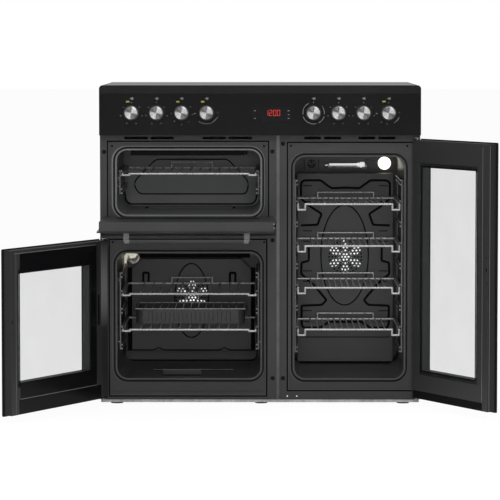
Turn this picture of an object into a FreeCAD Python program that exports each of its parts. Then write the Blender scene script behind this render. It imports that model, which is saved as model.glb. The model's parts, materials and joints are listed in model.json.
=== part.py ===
import FreeCAD, Part
import math
import os

# Free-standing range cooker: grill and main fan oven on the left, tall fan oven on the right, glass hob on top.
# Millimetres. X to the right, Y to the back, Z up. The origin is on the floor, under the middle of the body.
# The three doors are modelled shut and turned to the angle at which they stand open.

V = FreeCAD.Vector

# ---- body ----
body_width = 900.0
body_depth = 600.0
body_height = 900.0
foot_height = 5.0
base_height = 7.5
hob_height = 22.6
panel_height = 117.4
frame_setback = 40.0
rear_overhang = 15.0
sheet = 1.2
fit_gap = 0.3
hand_gap = 0.5

front_y = -body_depth / 2
back_y = body_depth / 2
frame_y = front_y + frame_setback
rear_panel_y = back_y - rear_overhang
half_width = body_width / 2
base_top = foot_height + base_height
hob_bottom = body_height - hob_height
panel_bottom = hob_bottom - panel_height

# ---- front frames and centre trim ----
frame_thickness = 6.0
recess_depth = 3.5
recess_radius = 10.0
trim_left_x = 47.8
trim_width = 5.7
trim_side_gap = 1.6
trim_web_setback = 2.0
trim_proud = 1.0
vent_height = 7.9
vent_end_flat = 0.1
vent_middle_z = 751.5
vent_spans_left = [(-382.0, 67.4), (-308.2, 66.3), (-161.8, 66.8), (-88.8, 66.6)]
vent_spans_right = [(123.6, 48.3), (179.8, 48.6), (275.0, 48.3), (331.5, 49.4)]
screw_hole_radius = 2.0
left_screw_holes = [(-414.8, 457.6), (11.8, 457.6)]
right_screw_holes = [(88.2, 728.8), (414.4, 728.8), (77.4, 21.9), (104.0, 21.9)]

frame_back_y = frame_y + frame_thickness
recess_y = frame_y + recess_depth
left_frame_right_x = trim_left_x - trim_side_gap
right_frame_left_x = trim_left_x + trim_width + trim_side_gap

# ---- cavities ----
cavity_back_y = 200.0
cavity_wall = 1.5
cavity_radius = 30.0
flange_thickness = 2.0
frame_hole_gap = 1.0
flange_left = 14.5
flange_right = 11.6
flange_below = 12.2
flange_above = 12.3

left_cavity_x = -402.8
left_cavity_width = 404.2
main_cavity_z = 73.3
main_cavity_height = 353.1
grill_cavity_z = 535.8
grill_cavity_height = 181.2
tall_cavity_x = 97.2
tall_cavity_width = 308.5
tall_cavity_z = 73.0
tall_cavity_height = 625.7

recess_margin_left = 18.7
recess_margin_right = 20.5
grill_recess_extra_left = 7.5
grill_recess_extra_right = 2.0
tall_recess_extra_left = 2.4
main_recess_below = 38.1
main_recess_above = 39.6
grill_recess_above = 25.0
tall_recess_below = 35.5
tall_recess_above = 42.7

left_cavity_right_x = left_cavity_x + left_cavity_width
tall_cavity_right_x = tall_cavity_x + tall_cavity_width
main_cavity_top = main_cavity_z + main_cavity_height
grill_cavity_top = grill_cavity_z + grill_cavity_height
tall_cavity_top = tall_cavity_z + tall_cavity_height
left_middle_x = left_cavity_x + left_cavity_width / 2
tall_middle_x = tall_cavity_x + tall_cavity_width / 2
flange_front_y = recess_y - flange_thickness

# ---- doors ----
door_gap = 2.0
door_thickness = 30.0
glass_thickness = 4.5
glass_corner = 4.0
door_edge_setback = 4.0
door_centre_setback = 2.7
pane_thickness = 4.0
pane_lap = 12.0
door_skin = 2.0
door_rail_stop = 14.0
glass_inset = 3.5
side_door_angle = 119.0
grill_door_angle = 90.0

main_door_bottom = 17.0
main_door_top = 468.0
tall_door_bottom = 17.0
tall_door_top = 750.0
grill_door_bottom = 473.0
grill_door_top = 750.0

door_inner_y = frame_y - door_gap
door_outer_y = door_inner_y - door_thickness
glass_back_y = door_outer_y + glass_thickness
left_door_free_x = left_frame_right_x - door_centre_setback
right_door_free_x = right_frame_left_x + door_centre_setback
door_hinge_x = half_width - door_edge_setback

window_hinge_stile = 90.0
window_free_stile = 44.5
main_window_below = 89.0
main_window_above = 67.0
tall_hinge_stile = 46.9
tall_free_stile = 66.0
tall_window_below = 85.0
tall_window_above = 78.5
pane_setback = 0.2

# ---- hinges ----
pin_radius = 2.5
pin_play = 0.05
pin_length = 14.0
pin_edge = 4.0
pin_ahead = 13.0
bracket_thickness = 2.5
bracket_width = 15.0
bracket_nose = 6.0
grill_axis_drop = 36.5
grill_axis_behind_glass = 4.5
grill_frame_below_axis = 6.5
grill_nose = 3.7
grill_frame_inset = 6.0
grill_pocket_wall = 4.0
lip_room = 3.0
channel_wall = 1.5

side_axis_y = door_inner_y - pin_ahead
side_axis_x = door_hinge_x - pin_edge
grill_axis_z = grill_door_bottom + grill_axis_drop
grill_axis_y = glass_back_y + grill_axis_behind_glass
lip_reach = math.hypot(grill_axis_drop, grill_axis_behind_glass + glass_thickness)
lip_reach_y = grill_axis_y + grill_axis_drop
lip_cross_drop = math.sqrt(lip_reach ** 2 - (frame_y - grill_axis_y) ** 2)
channel_bottom = grill_axis_z - lip_cross_drop - lip_room
channel_top = grill_axis_z
channel_back_y = lip_reach_y + lip_room

# ---- handles ----
handle_gap = 17.5
bar_depth = 13.5
bar_height = 18.0
bar_length = 340.0
bar_rounding = 5.5
handle_foot_width = 15.5
handle_foot_height = 14.0
handle_foot_outset = 3.0
grill_handle_drop = 34.0
main_handle_drop = 22.0
tall_handle_drop = 40.0
tall_bar_length = 270.0

# ---- door buffers and seals ----
buffer_radius = 6.0
buffer_stem_radius = 2.5
buffer_play = 0.1
buffer_places = [(-438.1, 712.8), (34.8, 713.6), (35.5, 463.8), (35.9, 73.3), (64.6, 735.5), (65.0, 73.3)]
seal_width = 5.0
seal_inset = 5.0

# ---- control panel ----
panel_sheet = 1.5
knob_pitch = 70.0
knob_first_x = 149.5
knobs_each_side = 4
knob_axis_z = 823.3
knob_skirt_radius = 21.5
knob_skirt_depth = 3.6
knob_face_radius = 19.0
knob_depth = 22.0
knob_panel_gap = 0.5
knob_rounding = 1.5
spindle_radius = 3.0
spindle_in_knob = 16.0
spindle_in_regulator = 18.0
spindle_hole_radius = 5.0
spindle_play = 0.05
regulator_width = 44.0
regulator_depth = 40.0
display_left_x = -22.6
display_width = 118.5
display_z = 800.9
display_height = 38.3
display_proud = 0.8
display_depth = 20.0
display_lip = 3.0
lamp_width = 9.0
lamp_height = 4.0
lamp_depth = 12.0
lamp_proud = 0.8
lamp_lip = 1.5
lamp_places = [(-369.9, 854.3), (-229.6, 854.3), (-160.1, 854.3), (346.4, 854.8)]

panel_back_y = front_y + panel_sheet
knob_xs = [-knob_first_x - i * knob_pitch for i in reversed(range(knobs_each_side))]
knob_xs += [knob_first_x + i * knob_pitch for i in range(knobs_each_side)]

# ---- hob ----
hob_glass_thickness = 4.0
hob_glass_margin = 12.0
hob_ledge = 13.0
hob_floor = 2.0
hob_edge_radius = 10.0
heater_wall = 8.0
heater_floor = 5.0
heaters = [(-300.0, -130.0, 90.0), (-300.0, 140.0, 72.5), (0.0, 10.0, 115.0),
           (300.0, 140.0, 90.0), (300.0, -130.0, 72.5)]

# ---- base, feet and terminal box ----
base_inset = 1.0
base_rail_width = 45.0
plinth_y_offset = 1.0
foot_radius = 17.25
foot_stem_radius = 4.0
foot_stem_length = 6.0
foot_play = 0.2
foot_xs = [-405.0, 3.5, 405.0]
foot_edge = 28.0
plinth_screw_radius = 2.4
plinth_screw_shank = 1.5
plinth_screw_head = 1.2
plinth_screw_length = 8.0
plinth_screw_play = 0.1
plinth_screw_xs = [-431.6, -376.7, -27.2, 29.1, 71.8, 126.1, 375.9, 431.0]
terminal_x = 330.0
terminal_z = 140.0
terminal_width = 110.0
terminal_height = 80.0
terminal_depth = 14.0
terminal_wall = 2.0
inlet_margin = 1.0
entry_radius = 11.0
louvre_rows = 4
louvre_xs = [-300.0, -100.0, 100.0, 300.0]
louvre_length = 120.0
louvre_height = 6.0
louvre_pitch = 18.0
louvre_drop = 40.0

# ---- racks ----
rack_wire = 3.0
bar_wire = 2.0
bar_lift = 1.2
bar_overhang = 1.0
left_rack_half = 191.6
tall_rack_half = 146.5
rack_front_y = -210.0
main_rack_back_y = 162.0
grill_rack_back_y = 189.0
tall_rack_back_y = 115.0
grill_rack_z = 648.6
main_level_z = 154.8
main_level_pitch = 51.0
main_level_count = 5
lower_rack_level = 1
upper_rack_level = 3
tall_level_z = 146.9
tall_level_pitch = 59.4
tall_level_count = 9
tall_rack_levels = [7, 5, 3, 1]
left_bar_pitch = 27.8
tall_bar_pitch = 17.3
left_dip = 4.0
tall_dip = 16.0
dip_width = 20.0
stop_height = 17.0
left_stop_half = 60.0
tall_stop_half = 82.0

main_levels = [main_level_z + i * main_level_pitch for i in range(main_level_count)]
tall_levels = [tall_level_z + i * tall_level_pitch for i in range(tall_level_count)]
lower_rack_z = main_levels[lower_rack_level]
upper_rack_z = main_levels[upper_rack_level]

# ---- side rails ----
rail_wire = 2.5
rail_outset = 0.2
rail_drop = 4.9
rail_rise = 6.6
weld = 0.3
rail_front_y = -190.0
rail_end = 22.0
rail_stud_radius = 2.1
main_rail_back_y = 140.0
grill_rail_back_y = 165.0
tall_rail_back_y = 95.0

# ---- roasting tray and its grid ----
tray_half = 157.0
tray_front_y = -61.0
tray_back_y = 144.0
tray_height = 41.0
tray_wall = 1.2
tray_radius = 22.0
tray_rim = 5.0
grid_wire = 1.6
grid_bar_wire = 1.28
grid_pitch = 22.0

# ---- fans, covers, elements ----
main_fan_z = 264.5
tall_fan_z = 388.0
fan_radius = 75.0
fan_disc = 1.5
fan_blade_height = 10.0
fan_blade_count = 8
fan_blade_thickness = 1.2
fan_blade_margin = 2.0
fan_blade_root = 1.0
fan_blade_sink = 0.2
fan_hub_radius = 12.0
shaft_radius = 3.0
shaft_play = 0.05
shaft_in_motor = 30.0
wall_shaft_play = 2.0
fan_wall_gap = 6.0
motor_radius = 36.0
motor_length = 56.0
motor_plate_width = 104.0
motor_plate_height = 44.0
motor_plate = 2.0
cover_sheet = 1.2
main_cover_y = 172.0
tall_cover_y = 135.0
main_cover_left = 24.2
main_cover_right = 28.4
main_cover_below = 34.4
main_cover_above = 48.0
main_cover_chamfer = 30.0
tall_cover_side = 14.0
tall_cover_below = 6.0
tall_cover_above = 65.0
cover_hole_radius = 2.9
cover_hole_pitch = 9.5
cover_hole_rings = 5
ring_radius = 92.0
element_wire = 3.25
element_tail = 14.0
element_stub = 20.0
element_tail_wire = 3.0
grill_element_drop = 16.5
grill_element_front_y = -190.0
grill_element_back = 24.0
grill_element_half = 161.5
grill_element_legs = 6

# ---- lamps and heat sensor ----
lamp_radius = 19.0
lamp_glass_depth = 14.0
lamp_base_depth = 5.0
lamp_base_lip = 4.0
lamp_rounding = 3.0
lamp_inset = 26.0
main_lamp_drop = 44.0
tall_lamp_drop = 37.0
tall_lamp_inset = 37.3
sensor_radius = 6.5
sensor_length = 100.0
sensor_left_inset = 104.0
sensor_drop = 44.5
sensor_collar = 9.0
sensor_collar_length = 15.0
sensor_stand_off = 12.0
clip_thickness = 4.0
clip_inset = 15.0
clip_margin = 1.0

# ---- loose pan handle ----
grip_length = 107.0
grip_depth = 26.0
grip_height = 20.0
grip_left_inset = 128.0
grip_front_y = -197.0
grip_rounding = 4.0
prong_wire = 2.5
left_prong = 27.0
right_prong = 92.0
prong_hook = 14.0
prong_drop = 2.0
prong_in_grip = 5.0


def box(x0, x1, y0, y1, z0, z1):
    """A plain block between two corners."""
    return Part.makeBox(x1 - x0, y1 - y0, z1 - z0, V(x0, y0, z0))


def rod(start, end, radius):
    """A round bar between two points."""
    line = end - start
    return Part.makeCylinder(radius, line.Length, start, line)


def rounded_prism(x0, x1, z0, z1, y0, y1, radius):
    """A block along Y with its four long edges rounded."""
    block = box(x0, x1, y0, y1, z0, z1)
    along_y = [e for e in block.Edges if abs(e.Length - (y1 - y0)) < 1e-6
               and abs(e.Vertexes[0].Point.x - e.Vertexes[1].Point.x) < 1e-6
               and abs(e.Vertexes[0].Point.z - e.Vertexes[1].Point.z) < 1e-6]
    return block.makeFillet(radius, along_y)


def round_edges(block, axis, radius):
    """Rounds the straight edges of a block that run along one axis: 0, 1 or 2."""
    def runs_along(edge):
        tangent = edge.tangentAt(edge.FirstParameter)
        return abs(abs(tangent[axis]) - 1.0) < 1e-6
    return block.makeFillet(radius, [e for e in block.Edges if runs_along(e)])


def bent_wire(points, radius):
    """A wire along straight runs, with a ball at each bend."""
    pieces = [rod(a, b, radius) for a, b in zip(points, points[1:])]
    pieces += [Part.makeSphere(radius, p) for p in points[1:-1]]
    return pieces


def swept_wire(points, radius):
    """A wire along straight runs, swept in one piece with mitred bends."""
    mitred = 1
    profile = Part.Wire([Part.makeCircle(radius, points[0], points[1] - points[0])])
    return Part.makePolygon(points).makePipeShell([profile], True, False, mitred)


def fuse(pieces):
    """One solid out of pieces that meet."""
    whole = pieces[0].fuse(pieces[1:]) if len(pieces) > 1 else pieces[0]
    return whole.removeSplitter()


def cut(block, tools):
    """The block without the tools."""
    return block.cut(tools) if tools else block


def save(name, shape):
    """Writes one sub-part."""
    shape.exportStep(os.path.join("parts", name + ".step"))


def turn_left_door(shape):
    turned = shape.copy()
    turned.rotate(V(-side_axis_x, side_axis_y, 0), V(0, 0, 1), -side_door_angle)
    return turned


def turn_right_door(shape):
    turned = shape.copy()
    turned.rotate(V(side_axis_x, side_axis_y, 0), V(0, 0, 1), side_door_angle)
    return turned


def turn_grill_door(shape):
    turned = shape.copy()
    turned.rotate(V(0, grill_axis_y, grill_axis_z), V(1, 0, 0), grill_door_angle)
    return turned


# ---------------------------------------------------------------- body

def make_base_frame():
    """The flat base: a rim and one cross member, with holes for the foot stems and the plinth screws."""
    x1 = half_width - base_inset
    y0 = frame_y + plinth_y_offset
    rail = base_rail_width
    middle = (left_frame_right_x + right_frame_left_x) / 2
    base = box(-x1, x1, y0, rear_panel_y, foot_height, base_top)
    left_well = box(-x1 + rail, middle - rail / 2, y0 + rail, rear_panel_y - rail, foot_height, base_top)
    right_well = box(middle + rail / 2, x1 - rail, y0 + rail, rear_panel_y - rail, foot_height, base_top)
    stems = [Part.makeCylinder(foot_stem_radius + foot_play, base_height, V(x, y, foot_height))
             for x, y in foot_places()]
    z = foot_height + base_height / 2
    screws = [rod(V(x, y0, z), V(x, y0 + plinth_screw_length, z), plinth_screw_shank + plinth_screw_play)
              for x in plinth_screw_xs]
    return cut(base, [left_well, right_well] + stems + screws)


def foot_places():
    front = frame_y + plinth_y_offset + foot_edge
    back = rear_panel_y - foot_edge
    return [(x, y) for x in foot_xs for y in (front, back)]


def make_feet():
    feet = []
    for x, y in foot_places():
        disc = Part.makeCylinder(foot_radius, foot_height, V(x, y, 0))
        stem = Part.makeCylinder(foot_stem_radius, foot_stem_length, V(x, y, foot_height))
        feet.append(disc.fuse(stem))
    return Part.Compound(feet)


def make_plinth_screws():
    z = foot_height + base_height / 2
    y0 = frame_y + plinth_y_offset
    screws = []
    for x in plinth_screw_xs:
        head = rod(V(x, y0 - plinth_screw_head, z), V(x, y0, z), plinth_screw_radius)
        shank = rod(V(x, y0, z), V(x, y0 + plinth_screw_length, z), plinth_screw_shank)
        screws.append(head.fuse(shank))
    return Part.Compound(screws)


def make_side_panels():
    panels = []
    for x in (-half_width, half_width - sheet):
        panels.append(box(x, x + sheet, frame_back_y, rear_panel_y, base_top, hob_bottom))
    return Part.Compound(panels)


def make_rear_panel():
    """The rear sheet, with louvre slots at the top and the cable entry low down."""
    y0, y1 = rear_panel_y, rear_panel_y + sheet
    panel = box(-half_width, half_width, y0, y1, base_top, hob_bottom)
    half_length, half_slot = louvre_length / 2, louvre_height / 2
    slots = []
    for row in range(louvre_rows):
        z = hob_bottom - louvre_drop - row * louvre_pitch
        for x in louvre_xs:
            slots.append(box(x - half_length, x + half_length, y0, y1, z - half_slot, z + half_slot))
    entry = rod(V(terminal_x, y0, terminal_z), V(terminal_x, y1, terminal_z), entry_radius)
    return cut(panel, slots + [entry])


def make_terminal_box():
    """The flat connection box on the rear panel, with its cable inlet facing down."""
    wall = terminal_wall
    xa, xb = terminal_x - terminal_width / 2, terminal_x + terminal_width / 2
    y0 = rear_panel_y + sheet
    y1 = y0 + terminal_depth - sheet
    za, zb = terminal_z - terminal_height / 2, terminal_z + terminal_height / 2
    shell = box(xa, xb, y0, y1, za, zb)
    inside = box(xa + wall, xb - wall, y0, y1 - wall, za + wall, zb - wall)
    middle_y = (y0 + y1 - wall) / 2
    inlet_radius = (y1 - wall - y0) / 2 - inlet_margin
    inlet = rod(V(terminal_x, middle_y, za), V(terminal_x, middle_y, za + wall), inlet_radius)
    return cut(shell, [inside, inlet])


def frame_cutters(x0, width, z0, height):
    """The hole in a front frame through which one cavity passes."""
    g = cavity_wall + frame_hole_gap
    return rounded_prism(x0 - g, x0 + width + g, z0 - g, z0 + height + g,
                         frame_y - 1, frame_back_y + 1, cavity_radius + g)


def recess(x0, x1, z0, z1):
    return rounded_prism(x0, x1, z0, z1, frame_y - 1, recess_y, recess_radius)


def vent_slots(spans):
    slots = []
    for x, length in spans:
        z0 = vent_middle_z - vent_height / 2
        slots.append(rounded_prism(x, x + length, z0, z0 + vent_height, frame_y - 1, frame_back_y + 1,
                                   (vent_height - vent_end_flat) / 2))
    return slots


def stem_holes(places):
    r = buffer_stem_radius + buffer_play
    return [rod(V(x, frame_y - 1, z), V(x, frame_back_y + 1, z), r) for x, z in places]


def screw_holes(places):
    return [rod(V(x, frame_y - 1, z), V(x, frame_back_y + 1, z), screw_hole_radius) for x, z in places]


def make_front_frame_left():
    """The front frame round grill and main oven, with a channel that the grill door's lower lip swings into."""
    x0, x1 = -half_width, left_frame_right_x
    plate = box(x0, x1, frame_y, frame_back_y, base_top, panel_bottom)
    w = channel_wall
    housing = box(x0 + sheet, x1, frame_back_y, channel_back_y + w, channel_bottom - w, channel_top + w)
    channel = box(x0 + w, x1 - w, frame_y - 1, channel_back_y, channel_bottom, channel_top)
    xa, xb = left_cavity_x - recess_margin_left, left_cavity_right_x + recess_margin_right
    main_recess = recess(xa, xb, main_cavity_z - main_recess_below, main_cavity_top + main_recess_above)
    grill_recess = recess(xa - grill_recess_extra_left, xb + grill_recess_extra_right,
                          channel_top + w, grill_cavity_top + grill_recess_above)
    holes = [frame_cutters(left_cavity_x, left_cavity_width, main_cavity_z, main_cavity_height),
             frame_cutters(left_cavity_x, left_cavity_width, grill_cavity_z, grill_cavity_height)]
    stems = stem_holes([p for p in buffer_places if p[0] < trim_left_x])
    plate = plate.fuse(housing)
    return cut(plate, [channel, main_recess, grill_recess] + holes + vent_slots(vent_spans_left)
               + stems + screw_holes(left_screw_holes))


def make_front_frame_right():
    x0, x1 = right_frame_left_x, half_width
    plate = box(x0, x1, frame_y, frame_back_y, base_top, panel_bottom)
    xa = tall_cavity_x - recess_margin_left - tall_recess_extra_left
    tall_recess = recess(xa, tall_cavity_right_x + recess_margin_right,
                         tall_cavity_z - tall_recess_below, tall_cavity_top + tall_recess_above)
    hole = frame_cutters(tall_cavity_x, tall_cavity_width, tall_cavity_z, tall_cavity_height)
    stems = stem_holes([p for p in buffer_places if p[0] > trim_left_x])
    return cut(plate, [tall_recess, hole] + vent_slots(vent_spans_right) + stems + screw_holes(right_screw_holes))


def make_centre_trim():
    x0 = trim_left_x - trim_side_gap
    x1 = trim_left_x + trim_width + trim_side_gap
    web_y = frame_y + trim_web_setback
    web = box(x0, x1, web_y, frame_back_y, base_top, panel_bottom)
    face = box(trim_left_x, trim_left_x + trim_width, frame_y - trim_proud, web_y, base_top, panel_bottom)
    return fuse([web, face])


def make_door_buffers():
    face_y = door_inner_y + fit_gap
    buffers = []
    for x, z in buffer_places:
        head = rod(V(x, frame_y, z), V(x, face_y, z), buffer_radius)
        stem = rod(V(x, frame_y, z), V(x, frame_back_y, z), buffer_stem_radius)
        buffers.append(head.fuse(stem))
    return Part.Compound(buffers)


# ---------------------------------------------------------------- control panel and hob

def make_control_panel():
    """A folded sheet box, open at the back, with holes for the spindles, the lamps and the display."""
    outer = box(-half_width, half_width, front_y, frame_back_y, panel_bottom, hob_bottom)
    s = panel_sheet
    inner = box(-half_width + s, half_width - s, front_y + s, frame_back_y + 1, panel_bottom + s, hob_bottom - s)
    holes = [rod(V(x, front_y - 1, knob_axis_z), V(x, front_y + s + 1, knob_axis_z), spindle_hole_radius)
             for x in knob_xs]
    g = hand_gap / 2
    for x, z in lamp_places:
        holes.append(box(x - lamp_width / 2 - g, x + lamp_width / 2 + g, front_y - 1, front_y + s + 1,
                         z - lamp_height / 2 - g, z + lamp_height / 2 + g))
    holes.append(box(display_left_x - g, display_left_x + display_width + g, front_y - 1, front_y + s + 1,
                     display_z - g, display_z + display_height + g))
    return cut(outer, [inner] + holes)


def make_display_window():
    """The clock: a glass-fronted module that fills its opening, with a lip behind the panel."""
    x0, x1 = display_left_x, display_left_x + display_width
    z0, z1 = display_z, display_z + display_height
    front = box(x0, x1, front_y - display_proud, panel_back_y, z0, z1)
    lip = display_lip
    body = box(x0 - lip, x1 + lip, panel_back_y, panel_back_y + display_depth, z0 - lip, z1 + lip)
    return fuse([front, body])


def make_indicator_lamps():
    lamps = []
    for x, z in lamp_places:
        w, h, lip = lamp_width / 2, lamp_height / 2, lamp_lip
        front = box(x - w, x + w, front_y - lamp_proud, panel_back_y, z - h, z + h)
        body = box(x - w - lip, x + w + lip, panel_back_y, panel_back_y + lamp_depth, z - h - lip, z + h + lip)
        lamps.append(front.fuse(body))
    return Part.Compound(lamps)


def make_heat_regulators():
    """The eight regulators behind the knobs, each with a bore in which its spindle turns."""
    units = []
    w = regulator_width / 2
    for x in knob_xs:
        case = box(x - w, x + w, panel_back_y, panel_back_y + regulator_depth, knob_axis_z - w, knob_axis_z + w)
        bore = rod(V(x, panel_back_y, knob_axis_z), V(x, panel_back_y + spindle_in_regulator, knob_axis_z),
                   spindle_radius + spindle_play)
        units.append(cut(case, [bore]))
    return Part.Compound(units)


def make_knob(x):
    """A knob with a dark skirt and a flat face, and the spindle that it is pushed onto."""
    y0 = front_y - knob_panel_gap
    y1 = y0 - knob_skirt_depth
    y2 = y0 - knob_depth
    z = knob_axis_z
    skirt = rod(V(x, y0, z), V(x, y1, z), knob_skirt_radius)
    face = rod(V(x, y1, z), V(x, y2, z), knob_face_radius)
    rims = [e for e in face.Edges if e.Length > 1 and abs(e.CenterOfMass.y - y2) < 1e-6]
    face = face.makeFillet(knob_rounding, rims)
    knob = fuse([skirt, face])
    bore_end = y0 - spindle_in_knob
    knob = cut(knob, [rod(V(x, y0, z), V(x, bore_end, z), spindle_radius)])
    spindle = rod(V(x, bore_end, z), V(x, panel_back_y + spindle_in_regulator - fit_gap, z), spindle_radius)
    return Part.Compound([knob, spindle])


def make_hob_trim():
    """The pressed tray that carries the heaters, with the rim that frames the glass."""
    tray = box(-half_width, half_width, front_y, back_y, hob_bottom, body_height)
    long_top = [e for e in tray.Edges if abs(e.Length - body_depth) < 1e-6 and e.CenterOfMass.z > body_height - 1]
    tray = tray.makeFillet(hob_edge_radius, long_top)
    m = hob_glass_margin
    glass_z = body_height - hob_glass_thickness
    glass_well = box(-half_width + m, half_width - m, front_y + m, back_y - m, glass_z, body_height + 1)
    m += hob_ledge
    heater_well = box(-half_width + m, half_width - m, front_y + m, back_y - m, hob_bottom + hob_floor, glass_z)
    return cut(tray, [glass_well, heater_well])


def make_hob_glass():
    m = hob_glass_margin + fit_gap
    glass = box(-half_width + m, half_width - m, front_y + m, back_y - m,
                body_height - hob_glass_thickness, body_height)
    return glass


def make_hob_heaters():
    """Radiant heaters: insulated cups that stand on the tray and press against the glass."""
    z0 = hob_bottom + hob_floor
    z1 = body_height - hob_glass_thickness
    cups = []
    for x, y, radius in heaters:
        cup = Part.makeCylinder(radius, z1 - z0, V(x, y, z0))
        well = Part.makeCylinder(radius - heater_wall, z1 - z0 - heater_floor, V(x, y, z0 + heater_floor))
        cups.append(cup.cut(well))
    return Part.Compound(cups)


# ---------------------------------------------------------------- cavities

def make_cavity(x0, width, z0, height, holes):
    """An enamelled box, open at the front, with a flange that lies in the recess of the front frame."""
    x1, z1, w = x0 + width, z0 + height, cavity_wall
    shell = rounded_prism(x0 - w, x1 + w, z0 - w, z1 + w, flange_front_y, cavity_back_y + w, cavity_radius + w)
    flange = rounded_prism(x0 - flange_left, x1 + flange_right, z0 - flange_below, z1 + flange_above,
                           flange_front_y, recess_y, cavity_radius + flange_right)
    inside = rounded_prism(x0, x1, z0, z1, flange_front_y - 1, cavity_back_y, cavity_radius)
    return cut(shell.fuse(flange), [inside] + holes)


def wall_hole(x, z, radius):
    return rod(V(x, cavity_back_y - 1, z), V(x, cavity_back_y + cavity_wall + 1, z), radius)


def fan_wall_holes(x, z):
    """Where the fan shaft and the two ends of the ring element pass the back wall."""
    holes = [wall_hole(x, z, shaft_radius + wall_shaft_play)]
    for side in (-1, 1):
        holes.append(wall_hole(x + side * element_tail, z + tail_rise(), element_wire + fit_gap))
    return holes


def grill_leg_xs():
    step = 2 * grill_element_half / (grill_element_legs - 1)
    return [left_middle_x - grill_element_half + i * step for i in range(grill_element_legs)]


def make_grill_cavity():
    z = grill_cavity_top - grill_element_drop
    ends = (grill_leg_xs()[0], grill_leg_xs()[-1])
    holes = [wall_hole(x, z, element_wire + fit_gap) for x in ends]
    return make_cavity(left_cavity_x, left_cavity_width, grill_cavity_z, grill_cavity_height, holes)


def make_main_cavity():
    return make_cavity(left_cavity_x, left_cavity_width, main_cavity_z, main_cavity_height,
                       fan_wall_holes(left_middle_x, main_fan_z))


def make_tall_cavity():
    return make_cavity(tall_cavity_x, tall_cavity_width, tall_cavity_z, tall_cavity_height,
                       fan_wall_holes(tall_middle_x, tall_fan_z))


def make_door_seals():
    """One rubber ring on the flange of each cavity."""
    rings = []
    for x0, width, z0, height in ((left_cavity_x, left_cavity_width, main_cavity_z, main_cavity_height),
                                  (left_cavity_x, left_cavity_width, grill_cavity_z, grill_cavity_height),
                                  (tall_cavity_x, tall_cavity_width, tall_cavity_z, tall_cavity_height)):
        a, b = seal_inset, seal_inset + seal_width
        y0, y1 = door_inner_y + fit_gap, flange_front_y
        outer = rounded_prism(x0 - b, x0 + width + b, z0 - b, z0 + height + b, y0, y1, cavity_radius + b)
        inner = rounded_prism(x0 - a, x0 + width + a, z0 - a, z0 + height + a, y0 - 1, y1 + 1, cavity_radius + a)
        rings.append(outer.cut(inner))
    return Part.Compound(rings)


def make_grill_element():
    """A heating rod that runs to and fro under the grill's ceiling; both its ends pass the back wall."""
    z = grill_cavity_top - grill_element_drop
    xs = grill_leg_xs()
    back = cavity_back_y - grill_element_back
    points = [V(xs[0], cavity_back_y + element_stub, z)]
    for i, x in enumerate(xs):
        near = back if i % 2 else grill_element_front_y
        points.append(V(x, near, z))
        if i + 1 < len(xs):
            points.append(V(xs[i + 1], near, z))
    points.append(V(xs[-1], cavity_back_y + element_stub, z))
    return fuse(bent_wire(points, element_wire))


def element_plane(cover_y):
    """The ring lies half way between the cover and the back wall."""
    return (cover_y + cover_sheet + cavity_back_y) / 2


def tail_rise():
    """How far above the fan's axis the ends of the ring element leave for the back wall."""
    return math.sqrt(ring_radius ** 2 - element_tail ** 2)


def make_ring_elements():
    """A heating ring round each fan; its two ends pass the back wall."""
    rings = []
    for x, z, cover_y in ((left_middle_x, main_fan_z, main_cover_y), (tall_middle_x, tall_fan_z, tall_cover_y)):
        y = element_plane(cover_y)
        pieces = [Part.makeTorus(ring_radius, element_wire, V(x, y, z), V(0, 1, 0))]
        for side in (-1, 1):
            start = V(x + side * element_tail, y, z + tail_rise())
            pieces.append(rod(start, V(start.x, cavity_back_y + element_stub, start.z), element_tail_wire))
        rings.append(fuse(pieces))
    return Part.Compound(rings)


def hole_pattern(x, z, y0, y1):
    """One hole in the middle and rings of six, twelve, eighteen and so on round it."""
    holes = [rod(V(x, y0, z), V(x, y1, z), cover_hole_radius)]
    for ring in range(1, cover_hole_rings + 1):
        count = 6 * ring
        for i in range(count):
            a = 2 * math.pi * i / count
            hx = x + ring * cover_hole_pitch * math.cos(a)
            hz = z + ring * cover_hole_pitch * math.sin(a)
            holes.append(rod(V(hx, y0, hz), V(hx, y1, hz), cover_hole_radius))
    return holes


def make_fan_cover(x0, x1, z0, z1, chamfer, cover_y, fan_x, fan_z):
    """A pressed plate in front of the fan, carried by a flange above and one below that reach the back wall."""
    corners = [V(x0, cover_y, z0), V(x1, cover_y, z0)]
    if chamfer > 0:
        corners += [V(x1, cover_y, z1 - chamfer), V(x1 - chamfer, cover_y, z1)]
        corners += [V(x0 + chamfer, cover_y, z1), V(x0, cover_y, z1 - chamfer)]
    else:
        corners += [V(x1, cover_y, z1), V(x0, cover_y, z1)]
    face = Part.Face(Part.makePolygon(corners + [corners[0]]))
    plate = face.extrude(V(0, cover_sheet, 0))
    s = cover_sheet
    top = box(x0 + chamfer, x1 - chamfer, cover_y, cavity_back_y, z1 - s, z1)
    bottom = box(x0, x1, cover_y, cavity_back_y, z0, z0 + s)
    return cut(fuse([plate, top, bottom]), hole_pattern(fan_x, fan_z, cover_y - 1, cover_y + s + 1))


def make_fan_covers():
    main = make_fan_cover(left_cavity_x + main_cover_left, left_cavity_right_x - main_cover_right,
                          main_cavity_z + main_cover_below, main_cavity_top - main_cover_above,
                          main_cover_chamfer, main_cover_y, left_middle_x, main_fan_z)
    tall = make_fan_cover(tall_cavity_x + tall_cover_side, tall_cavity_right_x - tall_cover_side,
                          tall_cavity_z + tall_cover_below, tall_cavity_top - tall_cover_above,
                          0, tall_cover_y, tall_middle_x, tall_fan_z)
    return Part.Compound([main, tall])


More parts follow.
